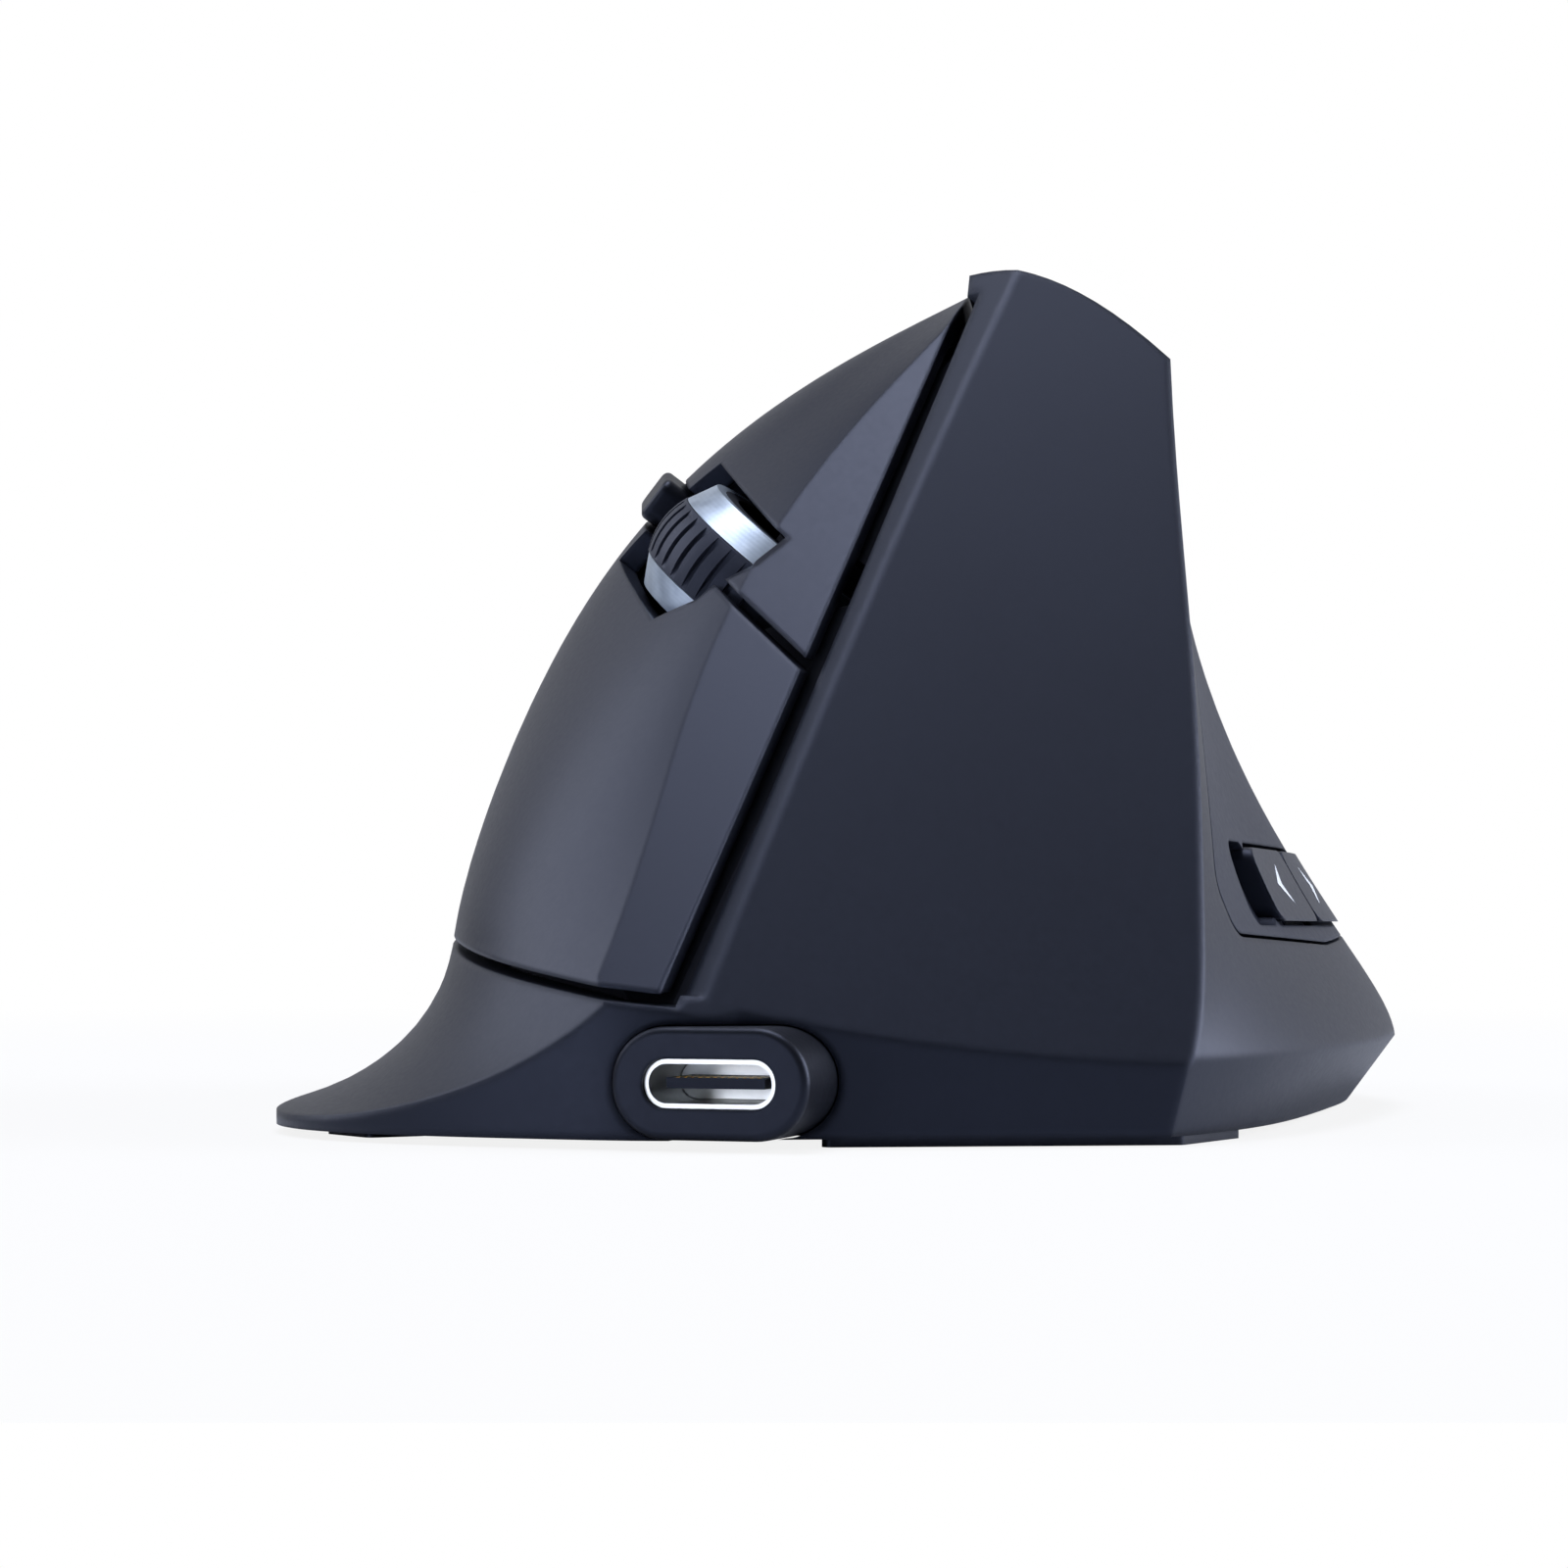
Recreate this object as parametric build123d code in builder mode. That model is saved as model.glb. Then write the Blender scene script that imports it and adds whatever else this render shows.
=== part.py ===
from build123d import *
import os
from math import cos, hypot, radians, sin

# Vertical ergonomic mouse for the right hand, in millimetres.
# +Z is up, -Y is the front with the charging port, +X is the thumb side.
# The origin is on the desk, under the middle of the body.

# Overall size
body_length = 113.0
body_width = 76.0
body_height = 65.2
half_length = body_length / 2
half_width = body_width / 2

# Shells, gaps and clearances
wall = 1.8
button_gap = 1.3
seam_gap = 0.45
slip = 0.15
fit = 0.05
shaft_fit = 0.08
travel_room = 0.9
clearance = 0.4
overrun = 3.0
room_low = -1.5
foot_thickness = 0.6
cover_thickness = 2.0
cover_top = foot_thickness + cover_thickness
space_size = 200.0

# Finger side: one row per upright plane, as shares of the body.
# Foot (x, y), crease height, ridge (x, y), ridge height,
# then handles as shares of the run and of the height: two for the wall, three for the flare.
finger_row_shares = [
    ((0.16, -1.17), 0.156, (0.29, -0.172), 1.022,
     (0.33, 0.45), (0.74, 0.82), (-0.25, 0.02), (-0.10, 0.03), (-0.03, 0.11)),
    ((-0.063, -0.998), 0.156, (0.29, -0.142), 1.019,
     (0.32, 0.43), (0.73, 0.82), (-0.25, 0.02), (-0.10, 0.03), (-0.03, 0.11)),
    ((-0.395, -0.823), 0.20, (0.284, -0.11), 1.014,
     (0.12, 0.40), (0.67, 0.851), (-0.29, 0.018), (-0.17, 0.022), (-0.055, 0.10)),
    ((-0.671, -0.566), 0.20, (0.274, -0.068), 1.004,
     (0.05, 0.47), (0.55, 0.854), (-0.38, 0.018), (-0.22, 0.02), (-0.03, 0.08)),
    ((-0.789, -0.265), 0.20, (0.25, 0.0), 0.98,
     (0.03, 0.57), (0.36, 0.87), (-0.38, 0.018), (-0.22, 0.022), (-0.01, 0.08)),
    ((-0.816, 0.035), 0.20, (0.171, 0.212), 0.91,
     (0.015, 0.56), (0.34, 0.84), (-0.34, 0.018), (-0.19, 0.025), (-0.005, 0.09)),
    ((-0.763, 0.354), 0.20, (0.092, 0.442), 0.79,
     (0.012, 0.50), (0.33, 0.74), (-0.37, 0.018), (-0.19, 0.03), (-0.006, 0.10)),
    ((-0.605, 0.655), 0.184, (0.039, 0.673), 0.606,
     (0.012, 0.43), (0.33, 0.585), (-0.45, 0.018), (-0.21, 0.03), (-0.008, 0.10)),
    ((-0.368, 0.85), 0.161, (0.026, 0.841), 0.406,
     (0.02, 0.30), (0.33, 0.40), (-0.67, 0.018), (-0.31, 0.035), (-0.013, 0.09)),
    ((-0.132, 1.027), 0.092, (0.026, 1.018), 0.13,
     (0.05, 0.11), (0.5, 0.13), (-1.7, 0.015), (-0.8, 0.03), (-0.03, 0.06)),
]
inset_top_share = 1.15
inset_bend_share = 0.3

# Thumb side: one row per cross-section, as shares of the body.
# Place along the length, inner foot x, ridge (x, z), shoulder (x, z), four x handles, ledge x, run under the ledge.
thumb_row_shares = [
    (-1.204, -0.395, (0.287, 1.03), (0.908, 0.87), (0.916, 0.908, 0.916, 0.80), 0.68, 0.03),
    (-0.796, -0.163, (0.308, 1.03), (0.816, 0.871), (0.826, 0.826, 0.826, 0.785), 0.75, 0.03),
    (-0.531, -0.053, (0.318, 1.025), (0.721, 0.873), (0.747, 0.756, 0.758, 0.865), 0.90, 0.08),
    (-0.265, 0.053, (0.32, 1.02), (0.64, 0.871), (0.648, 0.692, 0.768, 0.947), 0.965, 0.14),
    (0.0, 0.039, (0.262, 0.982), (0.542, 0.856), (0.55, 0.653, 0.832, 0.968), 0.978, 0.17),
    (0.212, -0.039, (0.171, 0.91), (0.468, 0.80), (0.489, 0.663, 0.858, 0.953), 0.963, 0.17),
    (0.442, -0.118, (0.092, 0.79), (0.395, 0.69), (0.421, 0.618, 0.80, 0.892), 0.903, 0.17),
    (0.673, -0.171, (0.039, 0.606), (0.289, 0.544), (0.303, 0.487, 0.645, 0.742), 0.753, 0.16),
    (0.85, -0.197, (0.026, 0.406), (0.211, 0.368), (0.211, 0.316, 0.447, 0.539), 0.55, 0.13),
    (1.027, -0.25, (0.026, 0.13), (0.079, 0.123), (0.105, 0.132, 0.158, 0.184), 0.195, 0.08),
]
ledge_height = 5.8
side_handle_shares = (0.66, 0.34, 0.18, 0.07)
ridge_shoulder_run = 8.3
ridge_shoulder_drop = 3.7
ridge_crest_drop = 0.6
ridge_crest_share = 0.28
ridge_lift = 1.3
brow_share = 0.3

# Front panel: a shallow hollow face that leans back
panel_foot = (0.1, -55.0, 9.9)
panel_turn = radians(29.5)
panel_lean = radians(30.5)
panel_reach = 90.0
panel_depth = 135.0
panel_left = 40.0
panel_right = 60.0
panel_hollow_at = 14.0
panel_hollow_depth = 1.0
panel_left_rise = 3.6
panel_right_rise = 2.4

# Bumper and desk outline
bumper_left = (3.5, -52.6)
bumper_right = (31.3, -40.0)
outline_shares = [
    (-0.03, -0.976), (-0.21, -0.984), (-0.447, -0.97), (-0.71, -0.912), (-0.874, -0.796), (-0.974, -0.566),
    (-1.0, -0.265), (-0.974, 0.0), (-0.895, 0.354), (-0.684, 0.726), (-0.368, 0.938), (0.0, 1.0),
    (0.368, 0.938), (0.658, 0.743), (0.908, 0.425), (1.0, 0.14), (1.0, -0.177), (0.955, -0.46), (0.90, -0.60),
]
desk_cut_height = 72.0

# Gap beside the panel, its sloped lip, seam along the ridge, and level gap over the skirt
panel_gap_foot = (0.1, -54.9, 10.0)
panel_gap_head = (9.0, -12.0, 62.5)
panel_gap_turn = radians(3.0)
bevel_turn = radians(3.0)
bevel_sink = 0.3
button_sink = 0.3
lip_run = 1.6
lip_turn = radians(34.0)
lip_sink = 0.8
ridge_gap_front = (8.0, -12.0)
ridge_gap_back = (-2.0, 50.0)
skirt_gap = 0.75
skirt_gap_point = (0.0, -55.0, 9.9)
skirt_gap_fall_share = 0.105
skirt_gap_rise_share = 0.055

# Wheel frame: x runs forward on the finger side, y runs along the axle, z points outwards
wheel_seat = (-10.4, -23.4, 43.0)
finger_turn = radians(-59.0)
finger_tilt = radians(35.5)
wheel_roll = radians(-18.0)

# Main buttons and their hinge, in the wheel frame
split_gap = 0.8
button_rear = -22.0
frame_thickness = 1.2
hinge_x = -20.0
hinge_z = -7.0
hinge_low = -8.4
hinge_pin_radius = 0.8
hinge_pin_ends = (-16.2, 10.6)
hinge_block_length = 2.6
hinge_block_width = 2.4
hinge_block_places = (-15.0, 0.0, 9.4)
ear_width = 1.6
index_ear_places = (4.2, 7.0)
middle_ear_places = (-12.0, -4.2)
nub_radius = 1.6
index_nub = (-2.0, 10.0)
middle_nub = (10.0, -11.0)
clip_radius = 2.2
clip_places = [(-13.0, 12.0), (-20.0, 22.0), (-8.0, 36.0)]

# Scroll wheel, in the wheel frame
wheel_x = -1.0
wheel_z = -8.3
tyre_radius = 10.6
tyre_crown = 0.5
tyre_width = 4.8
rim_width = 2.1
rim_radius = 10.0
rim_outer_radius = 8.9
hub_radius = 8.0
hub_recess_radius = 6.9
hub_core_radius = 3.0
hub_recess = 2.6
axle_radius = 1.25
axle_ends = (-10.6, 6.4)
rib_count = 41
rib_depth = 0.45
rib_groove = 0.55
slot_rear = -9.3
slot_side = 5.3
slot_corners = [(-9.3, -5.3), (7.0, -5.3), (8.9, -2.0), (8.3, 0.8), (6.6, 3.4), (1.0, 5.3), (-9.3, 5.3)]
slot_gap = 0.6
wheel_travel = 0.5
frame_slot_front = 11.0
frame_slot_rear = -12.2
frame_slot_side = 7.2

# Wheel carrier, its guides and the encoder, in the wheel frame
carrier_wall = 1.2
carrier_inside = 5.0
carrier_reach = 9.9
carrier_low = -17.6
carrier_high = -15.0
carrier_ear_half = 2.6
carrier_ear_top = -6.0
arm_x = (-10.6, -6.8)
arm_y = -11.2
arm_z = (-14.25, -13.0)
guide_gap = 0.3
guide_thickness = 1.5
guide_top = -15.3
guide_front_half = 3.0
guide_rear_side = (3.0, 5.0)
encoder_half = 3.5
encoder_side = (-10.9, -6.7)
encoder_top = -6.0
encoder_notch_bottom = -10.4

# Resolution button, in the wheel frame
dpi_cap_x = (-16.6, -10.2)
dpi_cap_z = (0.1, 3.1)
dpi_half_width = 1.8
dpi_round = 1.0
dpi_edge_round = 0.5
dpi_neck_front = -12.6
dpi_flange_x = (-18.4, -12.2)
dpi_flange_half = 2.7
dpi_flange_z = (-4.1, -3.1)
dpi_stem_x = -17.2
dpi_stem_radius = 1.2
dpi_travel = 0.4
dpi_slip = 0.45

# Button board and its switches, in the wheel frame
board_thickness = 1.2
board_top = -18.5
board_corners = [(-21.5, -21.0), (17.0, -21.0), (16.0, 2.5), (4.0, 15.0), (-21.5, 15.0)]
board_slot_half = 6.6
board_boss_radius = 1.9
board_boss_places = [(-18.5, 12.5), (-18.5, -17.5), (12.5, -17.5)]
board_screw_radius = 0.9
board_screw_length = 4.5
board_screw_head_radius = 1.7
board_screw_head_height = 1.0
switch_length = 12.8
switch_width = 5.8
switch_height = 6.5
plunger_length = 2.9
plunger_width = 1.2
plunger_proud = 0.6
plunger_depth = 1.2
plunger_slip = 0.25
well_depth = 2.0
tact_size = 6.0
tact_height = 3.4
tact_plunger_radius = 1.6
tact_plunger_proud = 0.8
tact_plunger_depth = 0.8
tact_well_depth = 1.7
wheel_tact = (-9.2, -9.6)

# Charging port
port_x = 2.7
port_z = 4.35
port_face = 56.2
port_shell_width = 8.94
port_shell_height = 3.16
port_shell_wall = 0.30
port_depth = 7.3
port_recess = 0.35
tongue_width = 6.69
tongue_thickness = 0.7
tongue_length = 5.0
port_block = 1.2
bezel_width = 13.4
bezel_height = 7.3
bezel_depth = 9.0
bezel_slip = 0.1
bezel_edge = 0.5

# Main board and sensor
main_board_bottom = 3.8
main_board_thickness = 1.0
main_board_corners = [(-2.6, -47.2), (8.2, -47.2), (17.9, -42.6), (17.9, -4.5), (-2.6, -4.5)]
main_board_boss_radius = 2.2
main_board_boss_places = [(0.6, -8.2), (14.9, -8.2), (14.9, -38.5), (0.4, -36.0)]
main_board_pin_radius = 0.8
sensor_place = (9.0, -14.0)
sensor_length = 9.9
sensor_width = 6.2
sensor_height = 2.4
lens_radius = 2.2
lens_flange_radius = 4.3
lens_flange_bottom = 2.75
lens_flange_top = 3.7
lens_bottom = 1.3
lens_window_slip = 0.3
chip_place = (11.0, -29.0)
chip_size = 5.0
chip_height = 0.9
radio_place = (3.4, -27.0)
radio_length = 9.0
radio_width = 6.4
radio_height = 1.6
radio_wall = 0.3

# Battery, power switch and side board
battery_place = (5.0, 24.0)
battery_length = 32.0
battery_width = 22.0
battery_height = 6.8
battery_round = 1.6
tray_wall = 1.0
tray_height = 3.4
tray_gap = 0.25
power_place = (-15.5, 14.0)
power_slot_length = 7.0
power_slot_width = 3.2
power_travel = 2.0
power_knob_bottom = 0.9
power_flange_length = 8.2
power_flange_width = 4.6
power_flange_height = 0.7
power_body_length = 14.0
power_body_width = 7.4
power_body_height = 3.6
power_room_height = 1.2
power_grip_depth = 0.3
power_grip_width = 0.5
side_board_x = 21.0
side_board_thickness = 1.2
side_board_y = (-21.0, 15.0)
side_board_top = 23.0
side_rib_places = (-19.0, 13.0)
side_rib_length = 3.0
side_rib_thickness = 1.2
side_rib_height = 3.4

# Thumb insert and side buttons, drawn as seen from the thumb side
insert_corners = [
    (-26.4, 14.0), (-28.4, 17.5), (-9.5, 48.5), (-4.0, 50.0), (12.0, 45.0), (25.0, 37.5), (36.0, 27.0), (37.5, 21.0),
    (31.0, 14.6), (0.0, 13.3),
]
insert_round = 2.0
insert_slip = 0.25
insert_x = (15.0, 45.0)
side_button_z = (14.9, 20.3)
side_button_front = -13.0
side_button_middle = 0.4
side_button_rear = 13.0
side_button_split = 0.4
side_button_proud = 0.5
side_scoop_front = -19.6
side_scoop_depth = 1.1
side_button_slip = 0.35
side_button_round = 1.2
side_flange_gap = 0.3
side_flange_thickness = 0.8
side_flange_reach = 0.8
side_travel = 0.5
side_nub_radius = 1.5
side_switch_z = 17.6
side_switch_places = (-9.3, 5.7)

# Screws and feet
screw_places = [(-17.8, -35.6), (27.8, -27.2), (-21.8, 27.8), (24.7, 27.7)]
screw_boss_radius = 3.8
screw_boss_top = 12.0
screw_head_radius = 2.5
screw_head_height = 1.1
screw_head_sink = 0.25
screw_radius = 1.1
screw_length = 7.5
screw_slot = 0.6
foot_round = 0.7
front_foot_corners = [(8.0, -49.2), (30.0, -39.3), (32.2, -30.0), (29.6, -29.2), (26.6, -37.0), (7.4, -45.6)]
side_foot_corners = [(-29.5, -45.0), (-24.5, -48.6), (-21.5, -45.2), (-27.0, -41.2)]
rear_foot_corners = [
    (-20.5, 37.5), (-10.0, 47.5), (0.0, 50.6), (10.0, 47.5), (20.5, 37.5), (17.5, 34.8), (9.0, 42.6), (0.0, 45.4),
    (-9.0, 42.6), (-17.5, 34.8),
]

# Directions and planes that the shells share
panel_normal = Vector(sin(panel_turn) * cos(panel_lean), -cos(panel_turn) * cos(panel_lean), sin(panel_lean))
panel_up = Vector(-sin(panel_turn) * sin(panel_lean), cos(panel_turn) * sin(panel_lean), cos(panel_lean))
panel_across = Vector(cos(panel_turn), sin(panel_turn), 0)

gap_line = (Vector(*panel_gap_head) - Vector(*panel_gap_foot)).normalized()
gap_normal = gap_line.cross(Vector(sin(panel_gap_turn), -cos(panel_gap_turn), 0)).normalized()
gap_plane = Plane(panel_gap_foot, x_dir=gap_line, z_dir=gap_normal)
bevel_normal = Vector(cos(bevel_turn), sin(bevel_turn), 0).cross(gap_line).normalized()
bevel_plane = Plane(Vector(*panel_gap_foot) - bevel_normal * bevel_sink, x_dir=gap_line, z_dir=bevel_normal)
lip_across = panel_normal.cross(gap_line).normalized() * -1
lip_point = Vector(*panel_gap_foot) + lip_across * lip_run - panel_normal * lip_sink
lip_normal = panel_normal * cos(lip_turn) - lip_across * sin(lip_turn)
lip_plane = Plane(lip_point, x_dir=gap_line, z_dir=lip_normal)
gap_end_plane = Plane(panel_gap_head, x_dir=(1, 0, 0), z_dir=(0, 1, 0))
ridge_line = Vector(ridge_gap_back[0] - ridge_gap_front[0], ridge_gap_back[1] - ridge_gap_front[1], 0).normalized()
ridge_normal = Vector(ridge_line.Y, -ridge_line.X, 0)
ridge_plane = Plane((*ridge_gap_front, 0), x_dir=ridge_line, z_dir=ridge_normal)
skirt_normal = Vector(skirt_gap_fall_share, -skirt_gap_rise_share, 1).normalized()
skirt_plane = Plane(skirt_gap_point, x_dir=Vector(1, 0, -skirt_gap_fall_share), z_dir=skirt_normal)

finger_out = Vector(sin(finger_turn) * cos(finger_tilt), -cos(finger_turn) * cos(finger_tilt), sin(finger_tilt))
finger_side = Vector(cos(finger_turn), sin(finger_turn), 0)
finger_up = finger_out.cross(finger_side)
wheel_forward = finger_side * cos(wheel_roll) + finger_up * sin(wheel_roll)
wheel_plane = Plane(wheel_seat, x_dir=wheel_forward, z_dir=finger_out)
axle_line = wheel_plane.y_dir


def wheel_point(x, y, z):
    """Point given in the wheel frame, in the body frame."""
    return wheel_plane.from_local_coords(Vector(x, y, z))


button_rear_plane = Plane(wheel_point(button_rear, 0, 0), x_dir=axle_line, z_dir=wheel_forward)
split_plane = Plane(wheel_seat, x_dir=wheel_forward, z_dir=axle_line)
wheel_section = Plane(wheel_point(wheel_x, 0, wheel_z), x_dir=wheel_forward, z_dir=finger_out)
axle_plane = Plane(wheel_point(wheel_x, 0, wheel_z), x_dir=wheel_forward, z_dir=axle_line)
axle_axis = Axis(wheel_point(wheel_x, 0, wheel_z), axle_line)
hinge_plane = Plane(wheel_point(hinge_x, 0, hinge_z), x_dir=wheel_forward, z_dir=axle_line)
port_plane = Plane((port_x, -port_face, port_z), x_dir=(1, 0, 0), z_dir=(0, 1, 0))
side_plane = Plane((0, 0, 0), x_dir=(0, 1, 0), z_dir=(1, 0, 0))
desk_plane = Plane.XY


def block(frame, x, y, z, corner=0):
    """Block over the ranges x, y and z of a frame, with its upright edges rounded by corner."""
    with BuildPart() as piece:
        with BuildSketch(frame.offset(z[0])) as base:
            with Locations(((x[0] + x[1]) / 2, (y[0] + y[1]) / 2)):
                Rectangle(x[1] - x[0], y[1] - y[0])
            if corner > 0:
                fillet(base.vertices(), corner)
        extrude(amount=z[1] - z[0])
    return piece.part


def rod(frame, place, radius, z):
    """Round rod at a place of a frame, over the range z."""
    with BuildPart() as piece:
        with BuildSketch(frame.offset(z[0])):
            with Locations(place):
                Circle(radius)
        extrude(amount=z[1] - z[0])
    return piece.part


def plate(frame, corners, z, corner=0, grow=0):
    """Plate with the given corners, rounded by corner and grown by grow."""
    with BuildPart() as piece:
        with BuildSketch(frame.offset(z[0])) as base:
            with BuildLine():
                Polyline(*corners, close=True)
            make_face()
            if corner > 0:
                fillet(base.vertices(), corner)
            if grow > 0:
                offset(amount=grow)
        extrude(amount=z[1] - z[0])
    return piece.part


def around(middle, half):
    """Range of half the size on both sides of a middle."""
    return (middle - half, middle + half)


def station(share_x, share_y):
    """Place over the desk, from shares of the half width and half length."""
    return (share_x * half_width, share_y * half_length)


def finger_form(inset):
    """Solid of the finger side, with its surface moved inwards by inset."""
    with BuildPart() as form:
        for foot, crease, ridge, top, low, high, tip, mid, neck in finger_row_shares:
            foot_x, foot_y = station(*foot)
            ridge_x, ridge_y = station(*ridge)
            run = hypot(ridge_x - foot_x, ridge_y - foot_y)
            along = Vector(ridge_x - foot_x, ridge_y - foot_y, 0).normalized()
            upright = Plane((foot_x, foot_y, 0), x_dir=along, z_dir=along.cross(Vector(0, 0, 1)))
            crease_z = crease * body_height
            top_z = top * body_height - inset * inset_top_share
            low_handle = (low[0] * run + inset, low[1] * body_height - inset * inset_bend_share)
            high_handle = (high[0] * run + inset * inset_bend_share, high[1] * body_height - inset)
            with BuildSketch(upright):
                with BuildLine():
                    if inset == 0:
                        flare = [(share[0] * run, share[1] * body_height) for share in (tip, mid, neck)]
                        Bezier(*flare, (0, crease_z))
                        outer_x = flare[0][0]
                        Line((outer_x, -overrun), flare[0])
                    else:
                        outer_x = inset
                        Line((outer_x, -overrun), (outer_x, crease_z))
                    Bezier((inset, crease_z), low_handle, high_handle, (run, top_z))
                    Line((run, top_z), (run + overrun, -overrun))
                    Line((run + overrun, -overrun), (outer_x, -overrun))
                make_face()
        loft()
    return form.part


def thumb_form(inset):
    """Solid of the thumb side, from the ridge to the ledge over the desk, moved inwards by inset."""
    with BuildPart() as form:
        for along, inner, ridge, shoulder, handles, ledge, under in thumb_row_shares:
            section = Plane((0, along * half_length, 0), x_dir=(1, 0, 0), z_dir=(0, -1, 0))
            ridge_x = ridge[0] * half_width
            ridge_z = ridge[1] * body_height - inset
            shoulder_x = shoulder[0] * half_width - inset
            shoulder_z = shoulder[1] * body_height - inset
            ledge_x = ledge * half_width - inset
            inner_x = inner * half_width
            start = (ridge_x - ridge_shoulder_run, ridge_z - ridge_shoulder_drop)
            crest = (ridge_x - ridge_shoulder_run * ridge_crest_share, ridge_z - ridge_crest_drop)
            brow_x = ridge_x + (shoulder_x - ridge_x) * brow_share
            brow_z = ridge_z + (shoulder_z - ridge_z) * brow_share + ridge_lift
            side = [
                (x * half_width - inset, ledge_height + (shoulder_z - ledge_height) * share)
                for x, share in zip(handles, side_handle_shares)
            ]
            low_x = ledge_x - under * half_width
            with BuildSketch(section):
                with BuildLine():
                    Line((inner_x, -overrun), start)
                    Bezier(start, crest, (brow_x, brow_z), (shoulder_x, shoulder_z))
                    Bezier((shoulder_x, shoulder_z), *side, (ledge_x, ledge_height))
                    Line((ledge_x, ledge_height), (low_x, -overrun))
                    Line((low_x, -overrun), (inner_x, -overrun))
                make_face()
        loft()
    return form.part


def panel_cut(inset):
    """Everything in front of the hollow panel face, moved inwards by inset."""
    start = Vector(*panel_foot) - panel_up * panel_left - panel_normal * inset
    across = Plane(start, x_dir=panel_across, z_dir=-panel_up)
    left = (-panel_left, panel_left_rise)
    middle = (panel_hollow_at, -panel_hollow_depth)
    right = (panel_right, panel_right_rise)
    with BuildPart() as cut:
        with BuildSketch(across):
            with BuildLine():
                ThreePointArc(left, middle, right)
                Polyline(right, (panel_right, panel_reach), (-panel_left, panel_reach), left)
            make_face()
        extrude(amount=-panel_depth)
    return cut.part


def desk_prism(inset, low, high):
    """Upright prism over the desk outline, drawn in by inset towards the middle."""
    keep_x = 1 - inset / half_width
    keep_y = 1 - inset / half_length
    points = [(x * half_width * keep_x, y * half_length * keep_y) for x, y in outline_shares]
    left = (bumper_left[0] * keep_x, bumper_left[1] * keep_y)
    right = (bumper_right[0] * keep_x, bumper_right[1] * keep_y)
    with BuildPart() as prism:
        with BuildSketch(Plane.XY.offset(low)):
            with BuildLine():
                Line(right, left)
                Spline(left, *points, right)
            make_face()
        extrude(amount=high - low)
    return prism.part


def inner_form(form, inset, low, high):
    """Room inside one side, between two heights."""
    with BuildPart() as room:
        add(form)
        add(panel_cut(inset), mode=Mode.SUBTRACT)
        add(desk_prism(inset, low, high), mode=Mode.INTERSECT)
    return room.part


def side_prism(y, z, corner, grow):
    """Prism through the thumb wall over the ranges y and z, grown by grow."""
    return block(side_plane, (y[0] - grow, y[1] + grow), (z[0] - grow, z[1] + grow), insert_x, corner + grow)


def micro_switch(place):
    """Long switch on the button board, with a well for its plunger."""
    top = board_top + switch_height
    with BuildPart() as switch:
        add(block(wheel_plane, around(place[0], switch_length / 2), around(place[1], switch_width / 2),
                  (board_top, top)))
        add(block(wheel_plane, around(place[0], plunger_length / 2 + plunger_slip),
                  around(place[1], plunger_width / 2 + plunger_slip), (top - well_depth, top)), mode=Mode.SUBTRACT)
    return switch.part


def micro_plunger(place):
    """Plunger standing in the well of a long switch."""
    top = board_top + switch_height
    return block(wheel_plane, around(place[0], plunger_length / 2), around(place[1], plunger_width / 2),
                 (top - plunger_depth, top + plunger_proud))


def tact_switch(frame, place, seat):
    """Small square switch on a board face, with a round well for its plunger."""
    top = seat + tact_height
    with BuildPart() as switch:
        add(block(frame, around(place[0], tact_size / 2), around(place[1], tact_size / 2), (seat, top)))
        add(rod(frame, place, tact_plunger_radius + slip, (top - tact_well_depth, top)), mode=Mode.SUBTRACT)
    return switch.part


def tact_plunger(frame, place, seat):
    """Round plunger standing in the well of a small switch."""
    top = seat + tact_height
    return rod(frame, place, tact_plunger_radius, (top - tact_plunger_depth, top + tact_plunger_proud))


# Forms used by several shells
skin_form = finger_form(0)
finger_room = finger_form(wall)
thumb_skin = thumb_form(0)
thumb_room = thumb_form(wall)
frame_depth = wall + travel_room
micro_top = board_top + switch_height + plunger_proud
tact_top = board_top + tact_height + tact_plunger_proud
side_tact_top = side_board_x + tact_height + tact_plunger_proud
insert_prism = plate(side_plane, insert_corners, insert_x, insert_round)
insert_opening = plate(side_plane, insert_corners, insert_x, insert_round, insert_slip)
side_pocket = side_prism((side_button_front, side_button_rear), side_button_z, side_button_round, side_button_slip)

# Region of the finger shell, between the panel gap, the ridge seam and the skirt gap
with BuildPart() as finger_region:
    Box(space_size, space_size, space_size)
    split(bisect_by=gap_plane, keep=Keep.BOTTOM)
    split(bisect_by=ridge_plane, keep=Keep.BOTTOM)
    split(bisect_by=skirt_plane.offset(-skirt_gap), keep=Keep.TOP)

# End of the gap beside the ridge
with BuildPart() as gap_end:
    Box(space_size, space_size, space_size)
    split(bisect_by=gap_plane, keep=Keep.BOTTOM)
    split(bisect_by=gap_plane.offset(-button_gap), keep=Keep.TOP)
    split(bisect_by=gap_end_plane, keep=Keep.BOTTOM)
    split(bisect_by=skirt_plane, keep=Keep.TOP)

# Sloped lip of the housing beside the gap
with BuildPart() as lip_region:
    Box(space_size, space_size, space_size)
    split(bisect_by=lip_plane, keep=Keep.TOP)
    split(bisect_by=gap_plane.offset(-button_gap), keep=Keep.TOP)
    split(bisect_by=skirt_plane, keep=Keep.TOP)

# Flared skirt under the finger shell
with BuildPart() as skirt:
    add(skin_form)
    split(bisect_by=skirt_plane.offset(-skirt_gap), keep=Keep.BOTTOM)

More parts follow.
